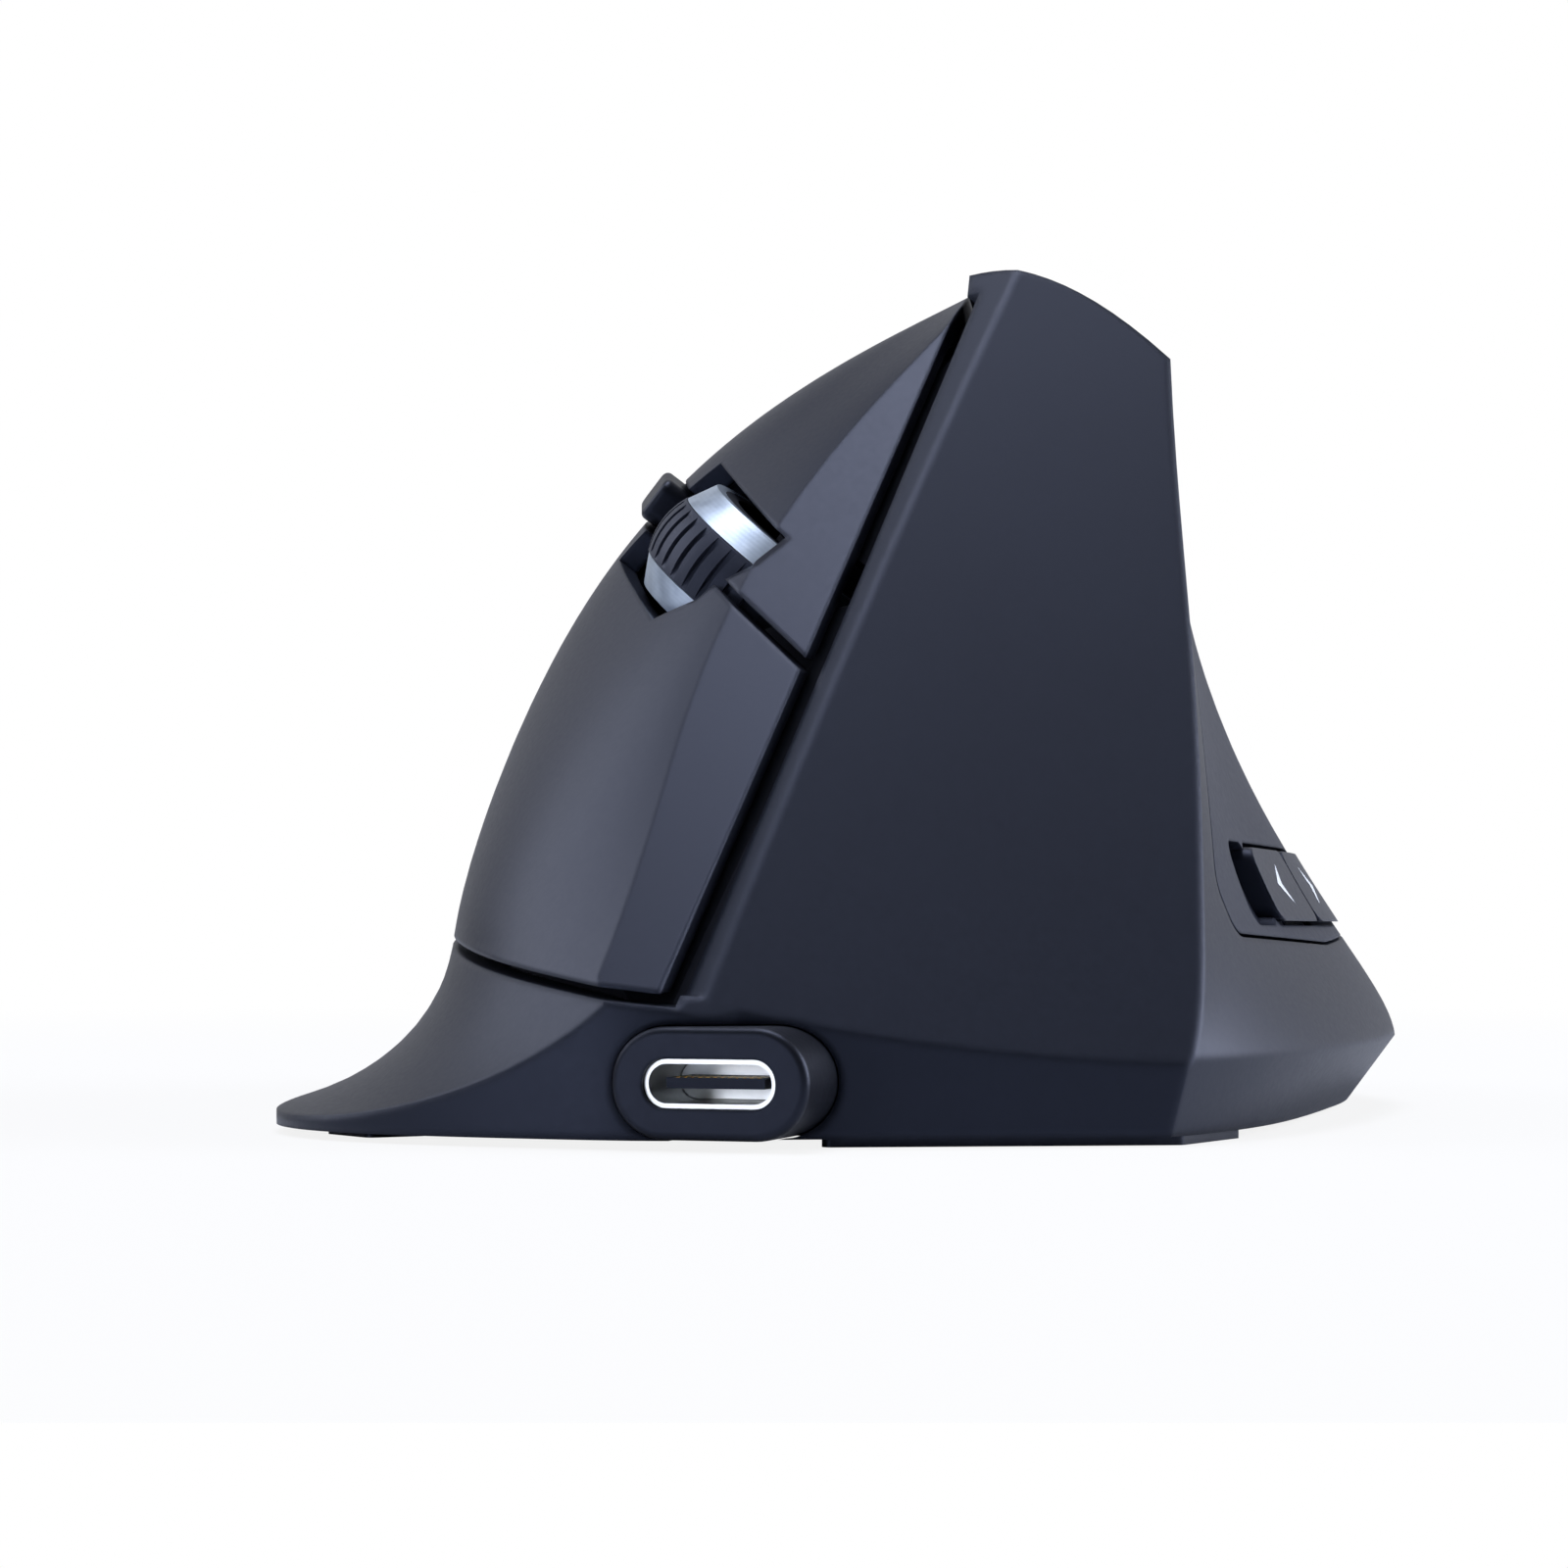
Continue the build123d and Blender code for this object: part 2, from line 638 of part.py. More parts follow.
# Main housing: panel, bumper, thumb wall, roof and skirt in one moulding
with BuildPart() as main_housing:
    add(thumb_skin)
    add(finger_region.part, mode=Mode.SUBTRACT)
    add(skirt.part)
    add(panel_cut(0), mode=Mode.SUBTRACT)
    add(lip_region.part, mode=Mode.SUBTRACT)
    add(gap_end.part, mode=Mode.SUBTRACT)
    add(desk_prism(0, foot_thickness, desk_cut_height), mode=Mode.INTERSECT)
    add(inner_form(finger_room, wall, room_low, desk_cut_height), mode=Mode.SUBTRACT)
    add(inner_form(thumb_room, wall, room_low, desk_cut_height), mode=Mode.SUBTRACT)
    add(insert_opening, mode=Mode.SUBTRACT)
    for place in screw_places:
        add(rod(desk_plane, place, screw_boss_radius, (cover_top + slip, screw_boss_top)))
    for place in screw_places:
        add(rod(desk_plane, place, screw_radius + fit, (0, foot_thickness + screw_head_sink + screw_head_height
                                                         + screw_length + slip)), mode=Mode.SUBTRACT)
    add(block(port_plane, around(0, bezel_width / 2 + bezel_slip), around(0, bezel_height / 2 + bezel_slip),
              (-overrun, bezel_depth + clearance), bezel_height / 2), mode=Mode.SUBTRACT)
main_housing.part.label = "main_housing"

# Finger shell before it is parted, and its room
with BuildPart() as finger_skin:
    add(skin_form)
    split(bisect_by=gap_plane.offset(-button_gap), keep=Keep.BOTTOM)
    split(bisect_by=ridge_plane.offset(-seam_gap), keep=Keep.BOTTOM)
    split(bisect_by=skirt_plane, keep=Keep.TOP)
    split(bisect_by=bevel_plane, keep=Keep.BOTTOM)
    add(panel_cut(button_sink), mode=Mode.SUBTRACT)
    add(desk_prism(0, foot_thickness, desk_cut_height), mode=Mode.INTERSECT)

with BuildPart() as shell_room:
    add(finger_room)
    split(bisect_by=bevel_plane.offset(-wall), keep=Keep.BOTTOM)

# Palm cover with the clips that rest on the inner frame
with BuildPart() as palm_clips:
    for place in clip_places:
        add(rod(desk_plane, place, clip_radius, (0, body_height)))
    add(finger_form(frame_depth - slip), mode=Mode.SUBTRACT)

with BuildPart() as palm_room:
    add(shell_room.part)
    add(palm_clips.part, mode=Mode.SUBTRACT)

with BuildPart() as palm_cover:
    add(finger_skin.part)
    split(bisect_by=button_rear_plane.offset(-seam_gap), keep=Keep.BOTTOM)
    add(palm_room.part, mode=Mode.SUBTRACT)
palm_cover.part.label = "palm_cover"

# Slots for the wheel and the resolution button between the main buttons
with BuildPart() as button_slots:
    add(plate(wheel_plane, slot_corners, around(0, space_size / 2)))
    with BuildSketch(wheel_section):
        with BuildLine():
            Polyline((0, -slot_side), (rim_outer_radius + slot_gap, -slot_side),
                     (tyre_radius + slot_gap, -tyre_width / 2), (tyre_radius + slot_gap, tyre_width / 2),
                     (rim_outer_radius + slot_gap, slot_side), (0, slot_side), close=True)
        make_face()
    revolve(axis=axle_axis)
    add(block(wheel_plane, (dpi_cap_x[0] - dpi_slip, slot_rear), around(0, dpi_half_width + dpi_slip),
              around(0, space_size / 2)))


def button_room(ears, nub):
    """Room under a main button, less the hinge ears and the nub that presses the switch."""
    with BuildPart() as room:
        add(shell_room.part)
        for place in ears:
            add(block(wheel_plane, around(hinge_x, hinge_block_length / 2), around(place, ear_width / 2),
                      (hinge_low, desk_cut_height)), mode=Mode.SUBTRACT)
        add(rod(wheel_plane, nub, nub_radius, (micro_top + fit, desk_cut_height)), mode=Mode.SUBTRACT)
    return room.part


hinge_hole = rod(hinge_plane, (0, 0), hinge_pin_radius + shaft_fit, hinge_pin_ends)

with BuildPart() as index_button:
    add(finger_skin.part)
    split(bisect_by=button_rear_plane, keep=Keep.TOP)
    split(bisect_by=split_plane.offset(split_gap / 2), keep=Keep.TOP)
    add(button_slots.part, mode=Mode.SUBTRACT)
    add(button_room(index_ear_places, index_nub), mode=Mode.SUBTRACT)
    add(hinge_hole, mode=Mode.SUBTRACT)
index_button.part.label = "index_button"

with BuildPart() as middle_button:
    add(finger_skin.part)
    split(bisect_by=button_rear_plane, keep=Keep.TOP)
    split(bisect_by=split_plane.offset(-split_gap / 2), keep=Keep.BOTTOM)
    add(button_slots.part, mode=Mode.SUBTRACT)
    add(button_room(middle_ear_places, middle_nub), mode=Mode.SUBTRACT)
    add(hinge_hole, mode=Mode.SUBTRACT)
middle_button.part.label = "middle_button"

# Inner frame under the finger shell: it carries the hinge pin and the button board
with BuildPart() as frame_room:
    add(finger_form(frame_depth + frame_thickness))
    split(bisect_by=bevel_plane.offset(-frame_depth - frame_thickness), keep=Keep.BOTTOM)
    for place in hinge_block_places:
        add(block(wheel_plane, around(hinge_x, hinge_block_length / 2), around(place, hinge_block_width / 2),
                  (hinge_low, desk_cut_height)), mode=Mode.SUBTRACT)
    for place in board_boss_places:
        add(rod(wheel_plane, place, board_boss_radius, (board_top + fit, desk_cut_height)), mode=Mode.SUBTRACT)

with BuildPart() as button_frame:
    add(finger_form(frame_depth))
    split(bisect_by=gap_plane.offset(-seam_gap), keep=Keep.BOTTOM)
    split(bisect_by=ridge_plane.offset(-seam_gap), keep=Keep.BOTTOM)
    split(bisect_by=bevel_plane.offset(-frame_depth), keep=Keep.BOTTOM)
    add(panel_cut(frame_depth), mode=Mode.SUBTRACT)
    add(desk_prism(frame_depth, cover_top + fit, desk_cut_height), mode=Mode.INTERSECT)
    add(frame_room.part, mode=Mode.SUBTRACT)
    add(block(wheel_plane, (frame_slot_rear, frame_slot_front), around(0, frame_slot_side),
              around(0, space_size / 2)), mode=Mode.SUBTRACT)
    add(block(wheel_plane, (dpi_cap_x[0] - dpi_slip, frame_slot_rear), around(0, dpi_half_width + dpi_slip),
              around(0, space_size / 2)), mode=Mode.SUBTRACT)
    for place in index_ear_places + middle_ear_places:
        add(block(wheel_plane, around(hinge_x, hinge_block_length / 2 + clearance),
                  around(place, ear_width / 2 + clearance), around(0, space_size / 2)), mode=Mode.SUBTRACT)
    for place in (index_nub, middle_nub):
        add(rod(wheel_plane, place, nub_radius + clearance, around(0, space_size / 2)), mode=Mode.SUBTRACT)
    for place in screw_places:
        add(rod(desk_plane, place, screw_boss_radius + clearance, (0, screw_boss_top + clearance)),
            mode=Mode.SUBTRACT)
    for place in board_boss_places:
        add(rod(wheel_plane, place, board_screw_radius + fit, (board_top, board_top + board_screw_length)),
            mode=Mode.SUBTRACT)
    add(rod(hinge_plane, (0, 0), hinge_pin_radius + fit, hinge_pin_ends), mode=Mode.SUBTRACT)
    add(block(port_plane, around(0, bezel_width / 2 + clearance), around(0, bezel_height / 2 + clearance),
              (-overrun, bezel_depth + clearance)), mode=Mode.SUBTRACT)
button_frame.part.label = "button_frame"

# Hinge pin shared by the two main buttons
with BuildPart() as hinge_pin:
    add(rod(hinge_plane, (0, 0), hinge_pin_radius, (hinge_pin_ends[0] + fit, hinge_pin_ends[1] - fit)))
hinge_pin.part.label = "hinge_pin"

# Scroll wheel: hub, tyre with ribs, two sloped rims and the axle
with BuildPart() as wheel_hub:
    add(rod(axle_plane, (0, 0), hub_radius, around(0, tyre_width / 2 + rim_width)))
    for side in (-1, 1):
        with BuildSketch(axle_plane.offset(side * (tyre_width / 2 + rim_width))):
            Circle(hub_recess_radius)
            Circle(hub_core_radius, mode=Mode.SUBTRACT)
        extrude(amount=-side * hub_recess, mode=Mode.SUBTRACT)
    add(rod(axle_plane, (0, 0), axle_radius + fit, around(0, space_size / 2)), mode=Mode.SUBTRACT)
wheel_hub.part.label = "wheel_hub"

tyre_half = tyre_width / 2 - fit
with BuildPart() as wheel_tyre:
    with BuildSketch(wheel_section):
        with BuildLine():
            ThreePointArc((tyre_radius - tyre_crown, -tyre_half), (tyre_radius, 0),
                          (tyre_radius - tyre_crown, tyre_half))
            Polyline((tyre_radius - tyre_crown, tyre_half), (hub_radius + fit, tyre_half),
                     (hub_radius + fit, -tyre_half), (tyre_radius - tyre_crown, -tyre_half))
        make_face()
    revolve(axis=axle_axis)
    with BuildSketch(axle_plane.offset(-tyre_width / 2)):
        with PolarLocations(tyre_radius, rib_count):
            Rectangle(rib_depth * 2, rib_groove)
    extrude(amount=tyre_width, mode=Mode.SUBTRACT)
wheel_tyre.part.label = "wheel_tyre"


def wheel_rim(side):
    """Sloped rim on one side of the tyre."""
    near = side * tyre_width / 2
    far = side * (tyre_width / 2 + rim_width)
    with BuildPart() as rim:
        with BuildSketch(wheel_section):
            with BuildLine():
                Polyline((hub_radius + fit, near), (rim_radius, near), (rim_outer_radius, far),
                         (hub_radius + fit, far), close=True)
            make_face()
        revolve(axis=axle_axis)
    return rim.part


with BuildPart() as wheel_rim_upper:
    add(wheel_rim(1))
wheel_rim_upper.part.label = "wheel_rim_upper"

with BuildPart() as wheel_rim_lower:
    add(wheel_rim(-1))
wheel_rim_lower.part.label = "wheel_rim_lower"

with BuildPart() as wheel_axle:
    add(rod(axle_plane, (0, 0), axle_radius, axle_ends))
wheel_axle.part.label = "wheel_axle"

# Carrier: a yoke that holds the axle and slides when the wheel is pressed
carrier_side = carrier_inside + carrier_wall
with BuildPart() as wheel_carrier:
    add(block(wheel_plane, around(wheel_x, carrier_reach + carrier_wall), around(0, carrier_side),
              (carrier_low, carrier_high)))
    add(block(wheel_plane, around(wheel_x, carrier_ear_half), around(0, carrier_side), (carrier_low, carrier_ear_top)))
    add(block(wheel_plane, arm_x, (-carrier_side, 0), (carrier_low, arm_z[1])))
    add(block(wheel_plane, around(wheel_x, carrier_reach), around(0, carrier_inside),
              (carrier_low, carrier_ear_top)), mode=Mode.SUBTRACT)
    add(block(wheel_plane, arm_x, (arm_y, -carrier_inside - carrier_wall / 2), arm_z))
    add(rod(axle_plane, (0, 0), axle_radius + shaft_fit, around(0, space_size / 2)), mode=Mode.SUBTRACT)
wheel_carrier.part.label = "wheel_carrier"

# Encoder block with an open notch for the axle end
with BuildPart() as wheel_encoder:
    add(block(wheel_plane, around(wheel_x, encoder_half), encoder_side, (board_top, encoder_top)))
    add(block(wheel_plane, around(wheel_x, axle_radius + clearance), encoder_side,
              (encoder_notch_bottom, encoder_top)), mode=Mode.SUBTRACT)
wheel_encoder.part.label = "wheel_encoder"

# Button board with the guides of the carrier
with BuildPart() as button_board:
    add(plate(wheel_plane, board_corners, (board_top - board_thickness, board_top)))
    add(block(wheel_plane, around(wheel_x, board_slot_half), around(0, slot_side), around(0, space_size / 2)),
        mode=Mode.SUBTRACT)
    for place in board_boss_places:
        add(rod(wheel_plane, place, board_screw_radius + slip, around(0, space_size / 2)), mode=Mode.SUBTRACT)
button_board.part.label = "button_board"

guide_front = wheel_x + carrier_reach + carrier_wall + guide_gap
guide_rear = wheel_x - carrier_reach - carrier_wall - guide_gap
with BuildPart() as carrier_guides:
    add(block(wheel_plane, (guide_front, guide_front + guide_thickness), around(0, guide_front_half),
              (board_top, guide_top)))
    for side in (-1, 1):
        near, far = sorted((side * guide_rear_side[0], side * guide_rear_side[1]))
        add(block(wheel_plane, (guide_rear - guide_thickness, guide_rear), (near, far), (board_top, guide_top)))
carrier_guides.part.label = "carrier_guides"

with BuildPart() as board_screws:
    for place in board_boss_places:
        under = board_top - board_thickness
        add(rod(wheel_plane, place, board_screw_head_radius, (under - board_screw_head_height, under)))
        add(rod(wheel_plane, place, board_screw_radius, (under, board_top + board_screw_length - slip)))
board_screws.part.label = "board_screws"

# Switches and plungers under the main buttons and the wheel
with BuildPart() as index_switch:
    add(micro_switch(index_nub))
index_switch.part.label = "index_switch"

with BuildPart() as index_plunger:
    add(micro_plunger(index_nub))
index_plunger.part.label = "index_plunger"

with BuildPart() as middle_switch:
    add(micro_switch(middle_nub))
middle_switch.part.label = "middle_switch"

with BuildPart() as middle_plunger:
    add(micro_plunger(middle_nub))
middle_plunger.part.label = "middle_plunger"

with BuildPart() as wheel_switch:
    add(tact_switch(wheel_plane, wheel_tact, board_top))
wheel_switch.part.label = "wheel_switch"

with BuildPart() as wheel_plunger:
    add(tact_plunger(wheel_plane, wheel_tact, board_top))
wheel_plunger.part.label = "wheel_plunger"

# Resolution button behind the wheel, with its stem and switch
with BuildPart() as dpi_button:
    add(block(wheel_plane, dpi_cap_x, around(0, dpi_half_width), dpi_cap_z, dpi_round))
    fillet(dpi_button.edges().group_by(Axis(wheel_seat, finger_out))[-1], dpi_edge_round)
    add(block(wheel_plane, (dpi_cap_x[0], dpi_neck_front), around(0, dpi_half_width),
              (dpi_flange_z[0], dpi_cap_z[0] + dpi_edge_round), dpi_round))
    add(block(wheel_plane, dpi_flange_x, around(0, dpi_flange_half), dpi_flange_z))
    add(rod(wheel_plane, (dpi_stem_x, 0), dpi_stem_radius, (tact_top + fit, dpi_flange_z[1])))
dpi_button.part.label = "dpi_button"

with BuildPart() as dpi_switch:
    add(tact_switch(wheel_plane, (dpi_stem_x, 0), board_top))
dpi_switch.part.label = "dpi_switch"

with BuildPart() as dpi_plunger:
    add(tact_plunger(wheel_plane, (dpi_stem_x, 0), board_top))
dpi_plunger.part.label = "dpi_plunger"

# Bottom cover with screw holes, sensor window, battery tray and board supports
cover_inset = wall + slip
cover_finger = inner_form(finger_form(cover_inset), cover_inset, foot_thickness, cover_top)
cover_thumb = inner_form(thumb_form(cover_inset), cover_inset, foot_thickness, cover_top)
tray_x = around(battery_place[0], battery_width / 2 + tray_gap)
tray_y = around(battery_place[1], battery_length / 2 + tray_gap)
head_bottom = foot_thickness + screw_head_sink
head_top = head_bottom + screw_head_height
with BuildPart() as bottom_cover:
    add(cover_finger)
    add(cover_thumb)
    add(block(desk_plane, (tray_x[0] - tray_wall, tray_x[1] + tray_wall), (tray_y[0] - tray_wall, tray_y[1] + tray_wall),
              (foot_thickness, cover_top + tray_height)))
    add(block(desk_plane, tray_x, tray_y, (cover_top, cover_top + tray_height)), mode=Mode.SUBTRACT)
    for place in main_board_boss_places:
        add(rod(desk_plane, place, main_board_boss_radius, (foot_thickness, main_board_bottom)))
        add(rod(desk_plane, place, main_board_pin_radius, (foot_thickness, main_board_bottom + main_board_thickness)))
    for place in side_rib_places:
        for near in (side_board_x - side_board_thickness - fit - side_rib_thickness, side_board_x + fit):
            add(block(desk_plane, (near, near + side_rib_thickness), around(place, side_rib_length / 2),
                      (foot_thickness, cover_top + side_rib_height)))
    for place in screw_places:
        add(rod(desk_plane, place, screw_head_radius + slip, (0, head_top)), mode=Mode.SUBTRACT)
        add(rod(desk_plane, place, screw_radius + slip, (0, screw_boss_top)), mode=Mode.SUBTRACT)
    add(rod(desk_plane, sensor_place, lens_radius + lens_window_slip, (0, screw_boss_top)), mode=Mode.SUBTRACT)
    add(block(desk_plane, around(power_place[0], power_slot_width / 2), around(power_place[1], power_slot_length / 2),
              (0, screw_boss_top)), mode=Mode.SUBTRACT)
    add(block(port_plane, around(0, bezel_width / 2 + clearance), around(0, bezel_height / 2 + clearance),
              (-overrun, bezel_depth + clearance)), mode=Mode.SUBTRACT)
bottom_cover.part.label = "bottom_cover"

with BuildPart() as housing_screws:
    for place in screw_places:
        add(rod(desk_plane, place, screw_head_radius, (head_bottom, head_top)))
        add(rod(desk_plane, place, screw_radius, (head_top, head_top + screw_length)))
        add(block(desk_plane, around(place[0], screw_head_radius), around(place[1], screw_slot / 2),
                  (head_bottom, head_bottom + screw_slot)), mode=Mode.SUBTRACT)
        add(block(desk_plane, around(place[0], screw_slot / 2), around(place[1], screw_head_radius),
                  (head_bottom, head_bottom + screw_slot)), mode=Mode.SUBTRACT)
housing_screws.part.label = "housing_screws"

# Sliding feet under the body
with BuildPart() as foot_front:
    add(plate(desk_plane, front_foot_corners, (0, foot_thickness), foot_round))
foot_front.part.label = "foot_front"

with BuildPart() as foot_side:
    add(plate(desk_plane, side_foot_corners, (0, foot_thickness), foot_round))
foot_side.part.label = "foot_side"

with BuildPart() as foot_rear:
    add(plate(desk_plane, rear_foot_corners, (0, foot_thickness), foot_round))
foot_rear.part.label = "foot_rear"

# Charging port: oval bezel, metal shell, tongue with its moulded block
port_back = port_recess + port_depth
with BuildPart() as usb_bezel:
    add(block(port_plane, around(0, bezel_width / 2), around(0, bezel_height / 2), (0, bezel_depth), bezel_height / 2 - fit))
    fillet(usb_bezel.edges().group_by(Axis.Y)[0], bezel_edge)
    add(block(port_plane, around(0, port_shell_width / 2 + fit), around(0, port_shell_height / 2 + fit),
              (-overrun, bezel_depth + clearance), port_shell_height / 2), mode=Mode.SUBTRACT)
usb_bezel.part.label = "usb_bezel"

with BuildPart() as usb_shell:
    add(block(port_plane, around(0, port_shell_width / 2), around(0, port_shell_height / 2),
              (port_recess, port_back), port_shell_height / 2 - fit))
    add(block(port_plane, around(0, port_shell_width / 2 - port_shell_wall),
              around(0, port_shell_height / 2 - port_shell_wall), (0, port_back + clearance),
              port_shell_height / 2 - port_shell_wall - fit), mode=Mode.SUBTRACT)
usb_shell.part.label = "usb_shell"

with BuildPart() as usb_tongue:
    add(block(port_plane, around(0, port_shell_width / 2 - port_shell_wall - fit),
              around(0, port_shell_height / 2 - port_shell_wall - fit), (port_back - port_block, port_back + fit),
              port_shell_height / 2 - port_shell_wall - fit * 2))
    add(block(port_plane, around(0, tongue_width / 2), around(0, tongue_thickness / 2),
              (port_back - port_block - tongue_length, port_back)))
    add(block(port_plane, around(0, port_shell_width / 2), around(0, port_shell_height / 2),
              (port_back + fit, port_face + main_board_corners[0][1] - fit), port_shell_height / 2 - fit))
usb_tongue.part.label = "usb_tongue"

# Main board with the sensor, its lens, the controller and the radio can
board_high = main_board_bottom + main_board_thickness
with BuildPart() as main_board:
    add(plate(desk_plane, main_board_corners, (main_board_bottom + fit, board_high)))
    for place in main_board_boss_places:
        add(rod(desk_plane, place, main_board_pin_radius + slip, (0, screw_boss_top)), mode=Mode.SUBTRACT)
    add(rod(desk_plane, sensor_place, lens_radius + slip, (0, screw_boss_top)), mode=Mode.SUBTRACT)
main_board.part.label = "main_board"

with BuildPart() as motion_sensor:
    add(block(desk_plane, around(sensor_place[0], sensor_width / 2), around(sensor_place[1], sensor_length / 2),
              (board_high + fit, board_high + fit + sensor_height)))
motion_sensor.part.label = "motion_sensor"

with BuildPart() as sensor_lens:
    add(rod(desk_plane, sensor_place, lens_flange_radius, (lens_flange_bottom, lens_flange_top)))
    add(rod(desk_plane, sensor_place, lens_radius, (lens_bottom, board_high)))
sensor_lens.part.label = "sensor_lens"

with BuildPart() as controller_chip:
    add(block(desk_plane, around(chip_place[0], chip_size / 2), around(chip_place[1], chip_size / 2),
              (board_high, board_high + chip_height)))
controller_chip.part.label = "controller_chip"

with BuildPart() as radio_can:
    add(block(desk_plane, around(radio_place[0], radio_width / 2), around(radio_place[1], radio_length / 2),
              (board_high, board_high + radio_height)))
radio_can.part.label = "radio_can"

# Battery in its tray
with BuildPart() as battery:
    add(block(desk_plane, around(battery_place[0], battery_width / 2), around(battery_place[1], battery_length / 2),
              (cover_top + fit, cover_top + fit + battery_height)))
    fillet(battery.edges().filter_by(Axis.Y), battery_round)
battery.part.label = "battery"

# Power switch: a knob in the cover slot under a fixed body
flange_bottom = cover_top + fit
flange_top = flange_bottom + power_flange_height
with BuildPart() as power_slider:
    knob_middle = power_place[1] - power_travel / 2
    knob_half = (power_slot_length - power_travel) / 2 - clearance
    add(block(desk_plane, around(power_place[0], power_slot_width / 2 - slip * 2), around(knob_middle, knob_half),
              (power_knob_bottom, flange_top)))
    add(block(desk_plane, around(power_place[0], power_flange_width / 2),
              around(knob_middle, power_flange_length / 2), (flange_bottom, flange_top)))
    for share in (-1, 0, 1):
        add(block(desk_plane, around(power_place[0], power_slot_width / 2),
                  around(knob_middle + share * power_grip_width * 2, power_grip_width / 2),
                  (0, power_knob_bottom + power_grip_depth)), mode=Mode.SUBTRACT)
power_slider.part.label = "power_slider"

with BuildPart() as power_switch:
    add(block(desk_plane, around(power_place[0], power_body_width / 2), around(power_place[1], power_body_length / 2),
              (cover_top, cover_top + power_body_height)))
    add(block(desk_plane, around(power_place[0], power_flange_width / 2 + clearance),
              around(power_place[1], power_flange_length / 2 + power_travel / 2 + clearance),
              (cover_top, cover_top + power_room_height)), mode=Mode.SUBTRACT)
power_switch.part.label = "power_switch"

# Thumb insert with the pocket of the side buttons and the scoop ahead of it
with BuildPart() as side_scoop:
    add(side_prism((side_scoop_front, side_button_front), side_button_z, side_button_round, side_button_slip))
    add(thumb_form(side_scoop_depth), mode=Mode.SUBTRACT)

with BuildPart() as thumb_insert:
    add(thumb_skin)
    add(insert_prism, mode=Mode.INTERSECT)
    add(thumb_room, mode=Mode.SUBTRACT)
    add(side_scoop.part, mode=Mode.SUBTRACT)
    add(side_pocket, mode=Mode.SUBTRACT)
thumb_insert.part.label = "thumb_insert"

# Side buttons: caps that stand proud of the wall, flanges behind it, and nubs to their switches
proud_form = thumb_form(-side_button_proud)
flange_form = thumb_form(wall + side_flange_gap)
flange_room = thumb_form(wall + side_flange_gap + side_flange_thickness)
front_span = (side_button_front, side_button_middle - side_button_split / 2)
rear_span = (side_button_middle + side_button_split / 2, side_button_rear)
flange_z = (side_button_z[0] - side_flange_reach, side_button_z[1] + side_flange_reach)


def side_button(span, flange_span, switch_y):
    """One thumb button over a span of the length."""
    with BuildPart() as cap:
        add(proud_form)
        add(side_prism(span, side_button_z, side_button_round, 0), mode=Mode.INTERSECT)
    with BuildPart() as flange:
        add(flange_form)
        add(side_prism(flange_span, flange_z, side_button_round, 0), mode=Mode.INTERSECT)
    with BuildPart() as room:
        add(flange_room)
        add(rod(side_plane, (switch_y, side_switch_z), side_nub_radius, (side_tact_top + fit, half_width)),
            mode=Mode.SUBTRACT)
    with BuildPart() as button:
        add(cap.part)
        add(flange.part)
        add(room.part, mode=Mode.SUBTRACT)
    return button.part


with BuildPart() as forward_button:
    add(side_button(front_span, (front_span[0] - side_flange_reach, front_span[1]), side_switch_places[0]))
forward_button.part.label = "forward_button"

with BuildPart() as back_button:
    add(side_button(rear_span, (rear_span[0], rear_span[1] + side_flange_reach), side_switch_places[1]))
back_button.part.label = "back_button"

# Side board with its two switches
with BuildPart() as side_board:
    add(block(desk_plane, (side_board_x - side_board_thickness, side_board_x), side_board_y,
              (cover_top + fit, side_board_top)))
side_board.part.label = "side_board"

with BuildPart() as forward_switch:
    add(tact_switch(side_plane, (side_switch_places[0], side_switch_z), side_board_x))
forward_switch.part.label = "forward_switch"

with BuildPart() as forward_plunger:
    add(tact_plunger(side_plane, (side_switch_places[0], side_switch_z), side_board_x))
forward_plunger.part.label = "forward_plunger"

with BuildPart() as back_switch:
    add(tact_switch(side_plane, (side_switch_places[1], side_switch_z), side_board_x))
back_switch.part.label = "back_switch"

with BuildPart() as back_plunger:
    add(tact_plunger(side_plane, (side_switch_places[1], side_switch_z), side_board_x))
back_plunger.part.label = "back_plunger"

# One file per piece
pieces = [
    main_housing, palm_cover, index_button, middle_button, button_frame, hinge_pin,
    wheel_hub, wheel_tyre, wheel_rim_upper, wheel_rim_lower, wheel_axle, wheel_carrier, wheel_encoder,
    button_board, carrier_guides, board_screws, index_switch, index_plunger, middle_switch, middle_plunger,
    wheel_switch, wheel_plunger, dpi_button, dpi_switch, dpi_plunger,
    bottom_cover, housing_screws, foot_front, foot_side, foot_rear, usb_bezel, usb_shell, usb_tongue,
    main_board, motion_sensor, sensor_lens, controller_chip, radio_can, battery, power_slider, power_switch,
    thumb_insert, forward_button, back_button, side_board, forward_switch, forward_plunger, back_switch, back_plunger,
]
os.makedirs("parts", exist_ok=True)
for piece in pieces:
    export_step(piece.part, f"parts/{piece.part.label}.step")
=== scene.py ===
import math

import bmesh
import bpy
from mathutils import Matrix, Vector
from mathutils.bvhtree import BVHTree


